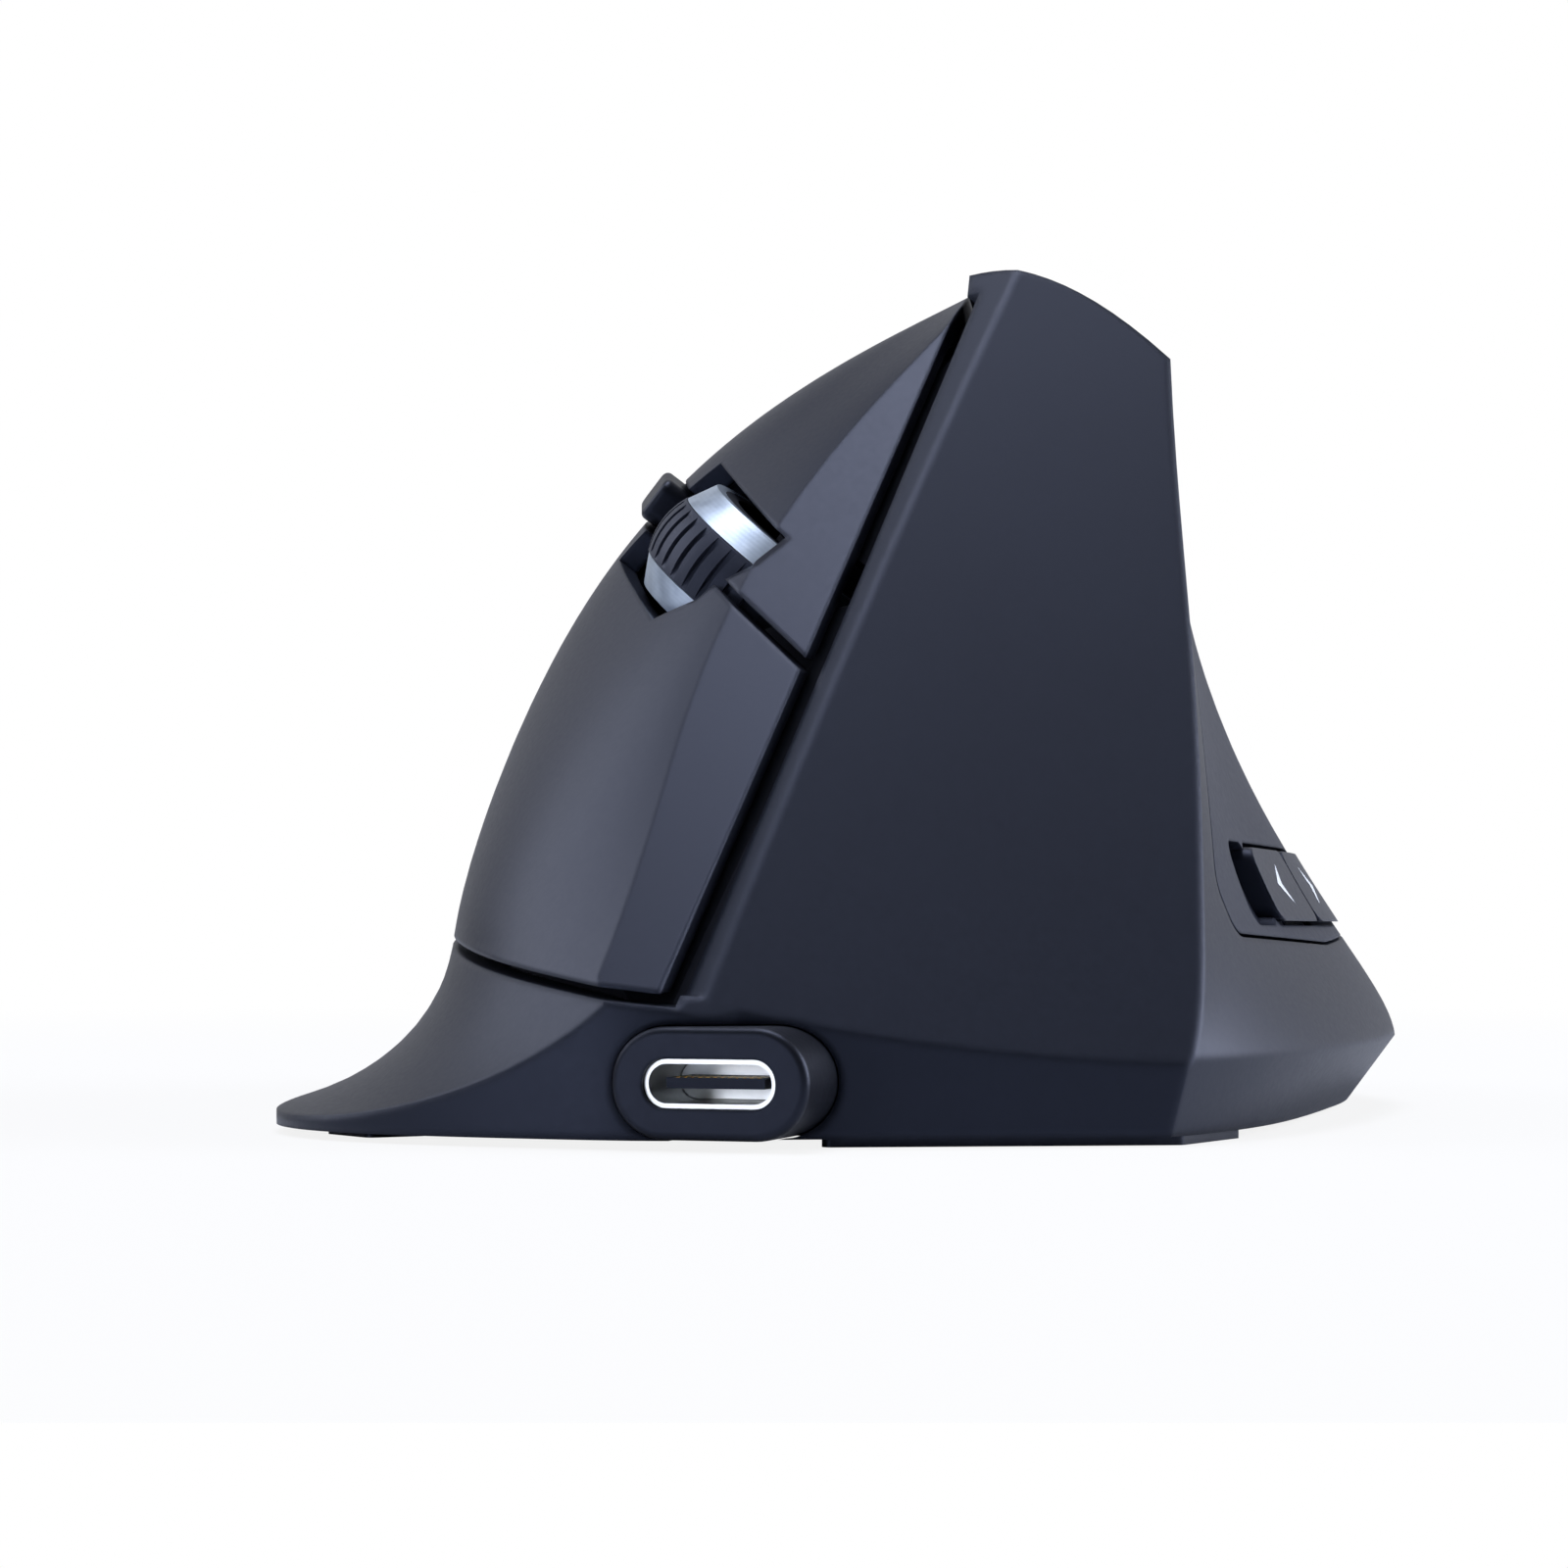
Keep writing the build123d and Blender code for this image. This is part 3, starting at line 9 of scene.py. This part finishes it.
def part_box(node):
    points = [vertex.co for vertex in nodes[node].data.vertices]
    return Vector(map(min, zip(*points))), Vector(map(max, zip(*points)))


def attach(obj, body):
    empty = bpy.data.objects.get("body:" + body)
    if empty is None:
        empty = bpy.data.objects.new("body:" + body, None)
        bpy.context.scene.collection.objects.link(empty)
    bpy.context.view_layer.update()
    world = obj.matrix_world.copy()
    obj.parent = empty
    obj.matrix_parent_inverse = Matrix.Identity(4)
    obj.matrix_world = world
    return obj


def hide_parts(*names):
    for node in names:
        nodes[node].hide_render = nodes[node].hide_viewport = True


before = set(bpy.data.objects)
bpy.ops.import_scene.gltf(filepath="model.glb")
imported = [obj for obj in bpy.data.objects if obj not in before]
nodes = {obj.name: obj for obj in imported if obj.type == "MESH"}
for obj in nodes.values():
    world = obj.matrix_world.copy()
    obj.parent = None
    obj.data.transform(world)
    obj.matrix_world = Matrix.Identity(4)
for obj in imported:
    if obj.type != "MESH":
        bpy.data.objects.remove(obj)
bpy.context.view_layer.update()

MM = 0.001


def linear(hex_colour):
    """sRGB hex colour as linear RGBA."""
    channels = [int(hex_colour[i:i + 2], 16) / 255 for i in (1, 3, 5)]
    return tuple(c / 12.92 if c <= 0.04045 else ((c + 0.055) / 1.055) ** 2.4 for c in channels) + (1.0,)


def new_object(name, data):
    """Object of a mesh, light or camera, placed in the scene at the origin."""
    made = bpy.data.objects.new(name, data)
    bpy.context.scene.collection.objects.link(made)
    return made


def middle(node):
    """Middle of a CAD node's box."""
    low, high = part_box(node)
    return (low + high) / 2


def add_node(tree, kind, settings=None, inputs=None):
    """Adds one node; an input is a value or the socket that feeds it."""
    made = tree.nodes.new(kind)
    for name, value in (settings or {}).items():
        setattr(made, name, value)
    for name, value in (inputs or {}).items():
        if isinstance(value, bpy.types.NodeSocket):
            tree.links.new(value, made.inputs[name])
        else:
            made.inputs[name].default_value = value
    return made


def new_material(name, shader_inputs):
    """Material with a Principled shader, and the Object coordinates that its patterns read."""
    material = bpy.data.materials.new(name)
    material.use_nodes = True
    tree = material.node_tree
    tree.nodes.clear()
    output = add_node(tree, "ShaderNodeOutputMaterial")
    shader = add_node(tree, "ShaderNodeBsdfPrincipled", inputs=shader_inputs)
    tree.links.new(shader.outputs["BSDF"], output.inputs["Surface"])
    place = add_node(tree, "ShaderNodeTexCoord").outputs["Object"]
    return material, tree, shader, place


def colour_ramp(tree, factor, stops):
    """Colour ramp over (position, hex colour) stops."""
    ramp = add_node(tree, "ShaderNodeValToRGB", inputs={"Fac": factor})
    elements = ramp.color_ramp.elements
    while len(elements) < len(stops):
        elements.new(0.5)
    for element, (position, colour) in zip(elements, stops):
        element.position = position
        element.color = linear(colour)
    return ramp.outputs["Color"]


def moulded_plastic(name, dark, light, grain_mm, grain_depth_mm, roughness, mottling_mm=18.0, edge_mm=0.0,
                    sheen="#b4bfe2"):
    """Moulded plastic: a fine grain from the mould, a slow drift of tone, small changes of gloss, soft edges."""
    drift_share, grain_share, tone_start = 0.55, 0.3, 0.1
    span_low, span_high = 0.3, 0.7
    gloss_spread = 0.03
    grain_strength = 0.4
    edge_samples = 6
    material, tree, shader, place = new_material(name, {"IOR": 1.5, "Specular Tint": linear(sheen)})
    drift = add_node(tree, "ShaderNodeTexNoise",
                     inputs={"Vector": place, "Scale": 1 / (mottling_mm * MM), "Detail": 3.0})
    grain = add_node(tree, "ShaderNodeTexNoise",
                     inputs={"Vector": place, "Scale": 1 / (grain_mm * MM), "Detail": 4.0, "Roughness": 0.6})
    slow = add_node(tree, "ShaderNodeMath", {"operation": "MULTIPLY_ADD"},
                    {0: drift.outputs["Fac"], 1: drift_share, 2: tone_start})
    tone = add_node(tree, "ShaderNodeMath", {"operation": "MULTIPLY_ADD"},
                    {0: grain.outputs["Fac"], 1: grain_share, 2: slow.outputs[0]})
    tree.links.new(colour_ramp(tree, tone.outputs[0], [(span_low, dark), (span_high, light)]),
                   shader.inputs["Base Color"])
    rough = add_node(tree, "ShaderNodeMapRange",
                     inputs={"Value": grain.outputs["Fac"], "From Min": span_low, "From Max": span_high,
                             "To Min": roughness - gloss_spread, "To Max": roughness + gloss_spread})
    tree.links.new(rough.outputs[0], shader.inputs["Roughness"])
    bump = add_node(tree, "ShaderNodeBump", inputs={"Strength": grain_strength, "Distance": grain_depth_mm * MM,
                                                    "Height": grain.outputs["Fac"]})
    if edge_mm > 0:
        edge = add_node(tree, "ShaderNodeBevel", {"samples": edge_samples}, {"Radius": edge_mm * MM})
        tree.links.new(edge.outputs["Normal"], bump.inputs["Normal"])
    tree.links.new(bump.outputs["Normal"], shader.inputs["Normal"])
    return material


def turned_metal(name, dark, light, roughness, line_mm, axis_place, axis_line, line_depth_mm=0.01):
    """Metal with fine lines across one axis, as from a lathe or a die."""
    line_tone, dust_mm = 0.05, 1.4
    gloss_spread = 0.05
    line_strength = 0.25
    material, tree, shader, place = new_material(name, {"Metallic": 1.0})
    centred = add_node(tree, "ShaderNodeVectorMath", {"operation": "SUBTRACT"}, {0: place, 1: axis_place})
    along = add_node(tree, "ShaderNodeVectorMath", {"operation": "DOT_PRODUCT"},
                     {0: centred.outputs["Vector"], 1: axis_line})
    wave = add_node(tree, "ShaderNodeMath", {"operation": "MULTIPLY"},
                    {0: along.outputs["Value"], 1: 2 * math.pi / (line_mm * MM)})
    ring = add_node(tree, "ShaderNodeMath", {"operation": "SINE"}, {0: wave.outputs[0]})
    dust = add_node(tree, "ShaderNodeTexNoise",
                    inputs={"Vector": place, "Scale": 1 / (dust_mm * MM), "Detail": 4.0})
    tone = add_node(tree, "ShaderNodeMath", {"operation": "MULTIPLY_ADD"},
                    {0: ring.outputs[0], 1: line_tone, 2: dust.outputs["Fac"]})
    tree.links.new(colour_ramp(tree, tone.outputs[0], [(0.25, dark), (0.75, light)]), shader.inputs["Base Color"])
    rough = add_node(tree, "ShaderNodeMapRange",
                     inputs={"Value": tone.outputs[0], "From Min": 0.2, "From Max": 0.8,
                             "To Min": roughness - gloss_spread, "To Max": roughness + gloss_spread})
    tree.links.new(rough.outputs[0], shader.inputs["Roughness"])
    bump = add_node(tree, "ShaderNodeBump", inputs={"Strength": line_strength, "Distance": line_depth_mm * MM,
                                                    "Height": ring.outputs[0]})
    tree.links.new(bump.outputs["Normal"], shader.inputs["Normal"])
    return material


# Where the wheel sits and how its axle lies, worked out from its own rims
axle_line = (middle("wheel_rim_upper") - middle("wheel_rim_lower")).normalized()
wheel_middle = (middle("wheel_rim_upper") + middle("wheel_rim_lower")) / 2
port_depth_line = Vector((0, 1, 0))

# Plastics: name, dark and light tone, grain size and depth in mm, roughness, size of the slow drift in mm, soft
# edge in mm. Real spark-eroded grain is about 0.1 mm; it is drawn coarser, at 0.3 to 0.8 mm, so that it shows.
# ABS moulded against a finely eroded mould: satin, blue-black, its broad highlights blurred by the grain
shell_abs = moulded_plastic("abs_eroded_blue_black", "#14161d", "#181b23", 0.45, 0.012, 0.42, edge_mm=0.9)
# The same ABS on the buttons, worn a touch smoother by the fingers. Its colour is painted a touch lighter than
# the shell's, a painted highlight for the light that falls on the top of the mouse
button_abs_painted_highlight = moulded_plastic("abs_eroded_buttons_painted_highlight", "#191b23", "#1d2029", 0.45, 0.010, 0.40, edge_mm=0.5)
# Thermoplastic elastomer moulded as an insert: duller and softer in tone than the shell round it
insert_tpe = moulded_plastic("tpe_soft_insert", "#181a22", "#1c1f28", 0.6, 0.02, 0.5, edge_mm=0.4)
# Plain black ABS for the inner pieces, unpainted from the mould. It is drawn near black, darker than the shell,
# as painted shade, so the gaps look deep
inner_abs_painted_gap_shade = moulded_plastic("abs_black_painted_gap_shade", "#08080a", "#0e0e11", 0.8, 0.01, 0.6)
# ABS of the small controls and the port bezel, from a finer mould: darker than the shell, with tight edges
control_abs = moulded_plastic("abs_satin_black", "#08090c", "#0c0d11", 0.5, 0.006, 0.42, edge_mm=0.3)
# Compression-moulded silicone rubber of the tyre: dark blue-grey that scatters light softly over its ribs
tyre_rubber = moulded_plastic("silicone_tyre", "#22252e", "#2b2e39", 0.4, 0.02, 0.5)
# Injection-moulded nylon of switch and chip bodies: dark grey and matt
switch_nylon = moulded_plastic("nylon_switch_black", "#101114", "#17181c", 0.6, 0.01, 0.5)
# Injection-moulded acetal of the plungers: waxy, off-white
plunger_acetal = moulded_plastic("acetal_plunger_white", "#cfcabb", "#dcd8cb", 0.8, 0.01, 0.38)
# Solder mask screened over copper and glass cloth: green, with a faint cloth-like unevenness
board_mask = moulded_plastic("solder_mask_green", "#0c4a2a", "#12613a", 1.2, 0.02, 0.32, 6.0)
# Laminated film shrunk round the battery: pale grey, lightly wrinkled
cell_film = moulded_plastic("battery_film_grey", "#8d9299", "#9fa4ab", 2.0, 0.03, 0.3)
# Skived PTFE of the glide feet: dark and slippery, a little glossier than the shell
foot_ptfe = moulded_plastic("ptfe_pad_dark", "#16171a", "#1d1e22", 0.7, 0.01, 0.35)
# White pad-printing ink of the arrows: matt, with a hint of the cap's grain under it
print_white = moulded_plastic("pad_print_white", "#d3d8dd", "#e6eaee", 0.3, 0.006, 0.5)

# Metals: name, dark and light tone, roughness, line spacing in mm, axis, line depth in mm. Real tool lines are
# about 0.1 mm apart; they are drawn 0.3 to 0.4 mm apart so that they show.
# Rims turned, then electroplated: bluish silver with broad satin highlights
rim_plate = turned_metal("turned_rim_plating", "#b3c1d2", "#ccd8e6", 0.38, 0.3, wheel_middle, axle_line, 0.002)
# Turned steel of pins, axle and screws, left bare: grey with fine rings
shaft_steel = turned_metal("turned_steel", "#8a8c90", "#a9abb0", 0.32, 0.4, wheel_middle, axle_line)
# Stainless sheet drawn into the port's shell along its depth: bright ring and bright inner walls
port_steel = turned_metal("stamped_stainless", "#dfe2e2", "#f0f2f1", 0.36, 0.4, middle("usb_shell"),
                          port_depth_line, 0.001)
# Gold plated over nickel on the port's contacts: warm yellow lines on the dark tongue
gold_plate = turned_metal("gold_contact_plating", "#c79a3c", "#e2b95c", 0.28, 0.3, middle("usb_tongue"),
                          port_depth_line, 0.003)

# Polycarbonate of the sensor's lens, moulded and polished: clear, with a slight haze
lens_clear, lens_tree, lens_shader, lens_place = new_material(
    "polycarbonate_lens", {"IOR": 1.58, "Transmission Weight": 0.9})
lens_noise = add_node(lens_tree, "ShaderNodeTexNoise", inputs={"Vector": lens_place, "Scale": 1 / (1.5 * MM)})
lens_tree.links.new(colour_ramp(lens_tree, lens_noise.outputs["Fac"], [(0.3, "#cfd6dd"), (0.7, "#e2e7ec")]),
                    lens_shader.inputs["Base Color"])
lens_rough = add_node(lens_tree, "ShaderNodeMapRange",
                      inputs={"Value": lens_noise.outputs["Fac"], "To Min": 0.06, "To Max": 0.16})
lens_tree.links.new(lens_rough.outputs[0], lens_shader.inputs["Roughness"])

finishes = {
    shell_abs: ["main_housing", "palm_cover"],
    button_abs_painted_highlight: ["index_button", "middle_button", "forward_button", "back_button"],
    insert_tpe: ["thumb_insert"],
    inner_abs_painted_gap_shade: ["button_frame", "wheel_carrier", "carrier_guides", "bottom_cover", "wheel_hub", "power_switch"],
    control_abs: ["dpi_button", "power_slider", "usb_bezel"],
    tyre_rubber: ["wheel_tyre"],
    rim_plate: ["wheel_rim_upper", "wheel_rim_lower"],
    shaft_steel: ["hinge_pin", "wheel_axle", "board_screws", "housing_screws", "radio_can"],
    port_steel: ["usb_shell"],
    board_mask: ["button_board", "main_board", "side_board"],
    switch_nylon: ["index_switch", "middle_switch", "wheel_switch", "dpi_switch", "forward_switch", "back_switch",
                   "wheel_encoder", "usb_tongue", "controller_chip", "motion_sensor"],
    plunger_acetal: ["index_plunger", "middle_plunger", "wheel_plunger", "dpi_plunger", "forward_plunger",
                     "back_plunger"],
    lens_clear: ["sensor_lens"],
    cell_film: ["battery"],
    foot_ptfe: ["foot_front", "foot_side", "foot_rear"],
}
for material, members in finishes.items():
    for name in members:
        node_mesh = nodes[name].data
        node_mesh.materials.clear()
        node_mesh.materials.append(material)


def changed_copy(node, name, materials, change):
    """Copy of a CAD node's mesh, with its points and faces changed, and with its own materials."""
    mesh = nodes[node].data.copy()
    mesh.name = name
    shape = bmesh.new()
    shape.from_mesh(mesh)
    change(shape)
    shape.to_mesh(mesh)
    shape.free()
    mesh.materials.clear()
    for material in materials:
        mesh.materials.append(material)
    return new_object(name, mesh)


def trim_burr(shape):
    """Draws the tip of the thin burr at the front end of the ridge back to its root."""
    tip, root = Vector((8.001, -12.005, 64.06)) * MM, Vector((7.89, -10.497, 63.911)) * MM
    tip_reach = 0.05 * MM
    flat_area = 1e-5 * MM * MM
    burr = [vert for vert in shape.verts if (vert.co - tip).length < tip_reach]
    for vert in burr:
        vert.co = root
    flat = {face for vert in burr for face in vert.link_faces if face.calc_area() < flat_area}
    bmesh.ops.delete(shape, geom=list(flat), context="FACES")


def join_triangles(shape):
    """Joins the loose triangles of a mesh."""
    bmesh.ops.remove_doubles(shape, verts=shape.verts, dist=0.001 * MM)


housing = changed_copy("main_housing", "housing_trimmed", [shell_abs], trim_burr)
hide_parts("main_housing")
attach(housing, "shell")

# Charging port: a copy of the tongue block with a dark tongue and a bright back wall, as the shell round it is
port_low, port_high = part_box("usb_shell")
port_centre = (port_low + port_high) / 2
tongue_half_width = (0.5 * 6.69 + 0.02) * MM
tongue_half_depth = 0.37 * MM
wall_depth = 1.3 * MM
tongue = changed_copy("usb_tongue", "port_tongue_and_wall", [switch_nylon, port_steel], join_triangles)
for face in tongue.data.polygons:
    spot = sum((tongue.data.vertices[i].co for i in face.vertices), Vector()) / len(face.vertices)
    on_tongue = abs(spot.z - port_centre.z) < tongue_half_depth and abs(spot.x - port_centre.x) < tongue_half_width
    face.material_index = 0 if on_tongue and spot.y < port_high.y - wall_depth else 1
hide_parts("usb_tongue")
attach(tongue, "shell")


def run_nodes(name, build, inputs, body, material):
    """Builds one Geometry Nodes tree, sets its inputs, and keeps its result as a plain mesh."""
    group = bpy.data.node_groups.new(name, "GeometryNodeTree")
    group.interface.new_socket("Geometry", in_out="OUTPUT", socket_type="NodeSocketGeometry")
    sockets = {}
    for label, (kind, value) in inputs.items():
        item = group.interface.new_socket(label, in_out="INPUT", socket_type=kind)
        item.default_value = value
        sockets[label] = item.identifier
    entry = add_node(group, "NodeGroupInput")
    repeated = build(group, entry.outputs)
    real = add_node(group, "GeometryNodeRealizeInstances", inputs={"Geometry": repeated})
    finish = add_node(group, "GeometryNodeSetMaterial",
                      inputs={"Geometry": real.outputs[0], "Material": material})
    leave = add_node(group, "NodeGroupOutput")
    group.links.new(finish.outputs[0], leave.inputs["Geometry"])
    holder = new_object(name + "_maker", bpy.data.meshes.new(name + "_seed"))
    modifier = holder.modifiers.new("made", "NODES")
    modifier.node_group = group
    for label, (_, value) in inputs.items():
        modifier[sockets[label]] = value
    graph = bpy.context.evaluated_depsgraph_get()
    mesh = bpy.data.meshes.new_from_object(holder.evaluated_get(graph))
    mesh.name = name
    holder.modifiers.clear()
    bpy.data.objects.remove(holder)
    made = new_object(name, mesh)
    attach(made, body)


def contact_row(group, given):
    """Row of flat contacts on both faces of the port's tongue."""
    line = add_node(group, "GeometryNodeMeshLine", {"mode": "OFFSET"},
                    {"Count": given["Contacts"], "Start Location": given["First contact"], "Offset": given["Pitch"]})
    strip = add_node(group, "GeometryNodeMeshCube", inputs={"Size": given["Contact size"]})
    row = add_node(group, "GeometryNodeInstanceOnPoints",
                   inputs={"Points": line.outputs[0], "Instance": strip.outputs["Mesh"]})
    other = add_node(group, "GeometryNodeTransform",
                     inputs={"Geometry": row.outputs[0], "Translation": given["To other face"]})
    both = add_node(group, "GeometryNodeJoinGeometry")
    group.links.new(row.outputs[0], both.inputs[0])
    group.links.new(other.outputs[0], both.inputs[0])
    return both.outputs[0]


# Contacts of the port: the standard's twelve on each face of the tongue
contact_pitch = 0.5 * MM
contact_count = 12
contact_size = (0.25 * MM, 2.4 * MM, 0.03 * MM)
contact_depth = 2.9 * MM
tongue_top = port_centre.z + 0.35 * MM
tongue_thickness = 0.7 * MM
first_contact_x = port_centre.x - contact_pitch * (contact_count - 1) / 2
run_nodes("port_contacts", contact_row, {
    "Contacts": ("NodeSocketInt", contact_count),
    "First contact": ("NodeSocketVector", (first_contact_x, port_low.y + contact_depth, tongue_top)),
    "Pitch": ("NodeSocketVector", (contact_pitch, 0.0, 0.0)),
    "Contact size": ("NodeSocketVector", contact_size),
    "To other face": ("NodeSocketVector", (0.0, 0.0, -tongue_thickness)),
}, "shell", gold_plate)


def printed_arrow(name, node, body, pointing):
    """Arrowhead printed on a side button's cap; it points forwards (-1) or backwards (1)."""
    arm, reach, stroke = 1.45 * MM, 1.3 * MM, 0.85 * MM
    notch, taper = stroke * 1.9, stroke * 0.2
    back_shift, up_shift = 0.2 * MM, 0.1 * MM
    ray_run, print_lift, join_reach = 5 * MM, 0.02 * MM, 0.005 * MM
    steps = 6
    low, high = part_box(node)
    centre_y = (low.y + high.y) / 2 - pointing * back_shift
    centre_z = (low.z + high.z) / 2 + up_shift
    cap = nodes[node].data
    skin = BVHTree.FromPolygons([v.co for v in cap.vertices], [tuple(f.vertices) for f in cap.polygons])
    shape = bmesh.new()
    rows = []
    for side in (1, -1):
        strip = []
        for step in range(steps + 1):
            share = step / steps
            outer = (reach + (-2 * reach) * share, side * arm * share)
            inner = (reach - notch + (-2 * reach + notch) * share, side * (arm - taper) * share)
            for spot in (outer, inner):
                start = Vector((high.x + ray_run, centre_y + pointing * spot[0], centre_z + spot[1]))
                hit, normal, _, _ = skin.ray_cast(start, Vector((-1, 0, 0)))
                strip.append(shape.verts.new(hit + normal * print_lift))
        rows.append(strip)
    for strip in rows:
        for step in range(steps):
            a, b, c, d = strip[2 * step:2 * step + 4]
            shape.faces.new((a, b, d, c))
    bmesh.ops.remove_doubles(shape, verts=shape.verts, dist=join_reach)
    bmesh.ops.recalc_face_normals(shape, faces=shape.faces)
    for face in shape.faces:
        if face.normal.x < 0:
            face.normal_flip()
    mesh = bpy.data.meshes.new(name)
    shape.to_mesh(mesh)
    shape.free()
    mesh.materials.append(print_white)
    arrow = new_object(name, mesh)
    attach(arrow, body)


printed_arrow("forward_mark", "forward_button", "forward", -1)
printed_arrow("back_mark", "back_button", "back", 1)


def stage_sheet(name, rows, lit, near_share, glossy_share):
    """Sheet through rows of (y, z): white to the camera, less so near the object, where its shadow shows."""
    half_width = 3.0
    fade_start, fade_end = 0.07, 0.42
    shape = bmesh.new()
    verts = [[shape.verts.new((x, y, z)) for x in (-half_width, half_width)] for y, z in rows]
    for near, far in zip(verts, verts[1:]):
        shape.faces.new((near[0], near[1], far[1], far[0]))
    mesh = bpy.data.meshes.new(name)
    shape.to_mesh(mesh)
    shape.free()
    material = bpy.data.materials.new(name + "_paper")
    material.use_nodes = True
    tree = material.node_tree
    tree.nodes.clear()
    matte = add_node(tree, "ShaderNodeBsdfDiffuse", inputs={"Color": linear(lit)})
    white = add_node(tree, "ShaderNodeEmission", inputs={"Color": (1, 1, 1, 1), "Strength": 1.0})
    place = add_node(tree, "ShaderNodeTexCoord").outputs["Object"]
    distance = add_node(tree, "ShaderNodeVectorMath", {"operation": "LENGTH"}, {0: place})
    fade = add_node(tree, "ShaderNodeMapRange", {"interpolation_type": "SMOOTHSTEP"},
                    {"Value": distance.outputs["Value"], "From Min": fade_start, "From Max": fade_end,
                     "To Min": near_share, "To Max": 1.0})
    path = add_node(tree, "ShaderNodeLightPath")
    glossy = add_node(tree, "ShaderNodeMath", {"operation": "MULTIPLY"},
                      {0: path.outputs["Is Glossy Ray"], 1: glossy_share})
    share = add_node(tree, "ShaderNodeMath", {"operation": "MULTIPLY_ADD"},
                     {0: path.outputs["Is Camera Ray"], 1: fade.outputs[0], 2: glossy.outputs[0]})
    mixed = add_node(tree, "ShaderNodeMixShader", inputs={"Fac": share.outputs[0]})
    tree.links.new(matte.outputs["BSDF"], mixed.inputs[1])
    tree.links.new(white.outputs["Emission"], mixed.inputs[2])
    output = add_node(tree, "ShaderNodeOutputMaterial")
    tree.links.new(mixed.outputs[0], output.inputs["Surface"])
    mesh.materials.append(material)
    sheet = new_object(name, mesh)


# Floor and backdrop of plain paper: white to the camera, pale to the light, and the floor keeps its shadow
stage_sheet("floor", [(-1.4, 0.0), (2.0, 0.0)], "#dcdee2", 0.86, 0.0)
stage_sheet("backdrop", [(2.0, 0.0), (2.1, 0.06), (2.16, 0.2), (2.16, 3.0)], "#c4d0ee", 1.0, 0.46)

# World: a faint even light, white to the camera
world = bpy.data.worlds.new("studio")
bpy.context.scene.world = world
world.use_nodes = True
world_tree = world.node_tree
world_tree.nodes.clear()
world_out = add_node(world_tree, "ShaderNodeOutputWorld")
sky = add_node(world_tree, "ShaderNodeBackground", inputs={"Color": linear("#eef1f8"), "Strength": 0.10})
seen_sky = add_node(world_tree, "ShaderNodeBackground", inputs={"Color": (1, 1, 1, 1), "Strength": 1.0})
path = add_node(world_tree, "ShaderNodeLightPath")
choose = add_node(world_tree, "ShaderNodeMixShader", inputs={"Fac": path.outputs["Is Camera Ray"]})
world_tree.links.new(sky.outputs[0], choose.inputs[1])
world_tree.links.new(seen_sky.outputs[0], choose.inputs[2])
world_tree.links.new(choose.outputs[0], world_out.inputs["Surface"])

# Soft boxes of the studio: name, place, target, size, power
soft_boxes = [
    ("left_soft_box", (-0.60, -0.04, 0.42), (0, 0, 0.03), 0.55, 2.6),
    ("top_soft_box", (-0.02, -0.02, 0.78), (0, 0, 0.03), 0.44, 4.6),
    ("right_soft_box", (0.60, 0.20, 0.24), (0, 0, 0.03), 0.42, 5.0),
    ("front_fill", (-0.36, -0.86, 0.07), (0, 0, 0.01), 0.22, 1.3),
]
lamp_colour = linear("#ecf0fd")[:3]
for name, place, target, size, power in soft_boxes:
    light = bpy.data.lights.new(name, "AREA")
    light.shape = "SQUARE"
    light.size = size
    light.energy = power
    light.color = lamp_colour
    lamp = new_object(name, light)
    lamp.location = place
    lamp.rotation_euler = (Vector(target) - Vector(place)).to_track_quat("-Z", "Y").to_euler()

# Camera: level, a little to the right of the front, as in the photograph
camera_data = bpy.data.cameras.new("camera")
camera = new_object("camera", camera_data)
camera.location = (0.075884, -0.265732, 0.0141455)
camera.rotation_euler = (math.radians(90), 0, math.radians(18))
camera_data.sensor_width = 36.0
camera_data.lens = 79.79
camera_data.shift_y = 0.09375
bpy.context.scene.camera = camera
bpy.context.scene.view_settings.view_transform = "Standard"
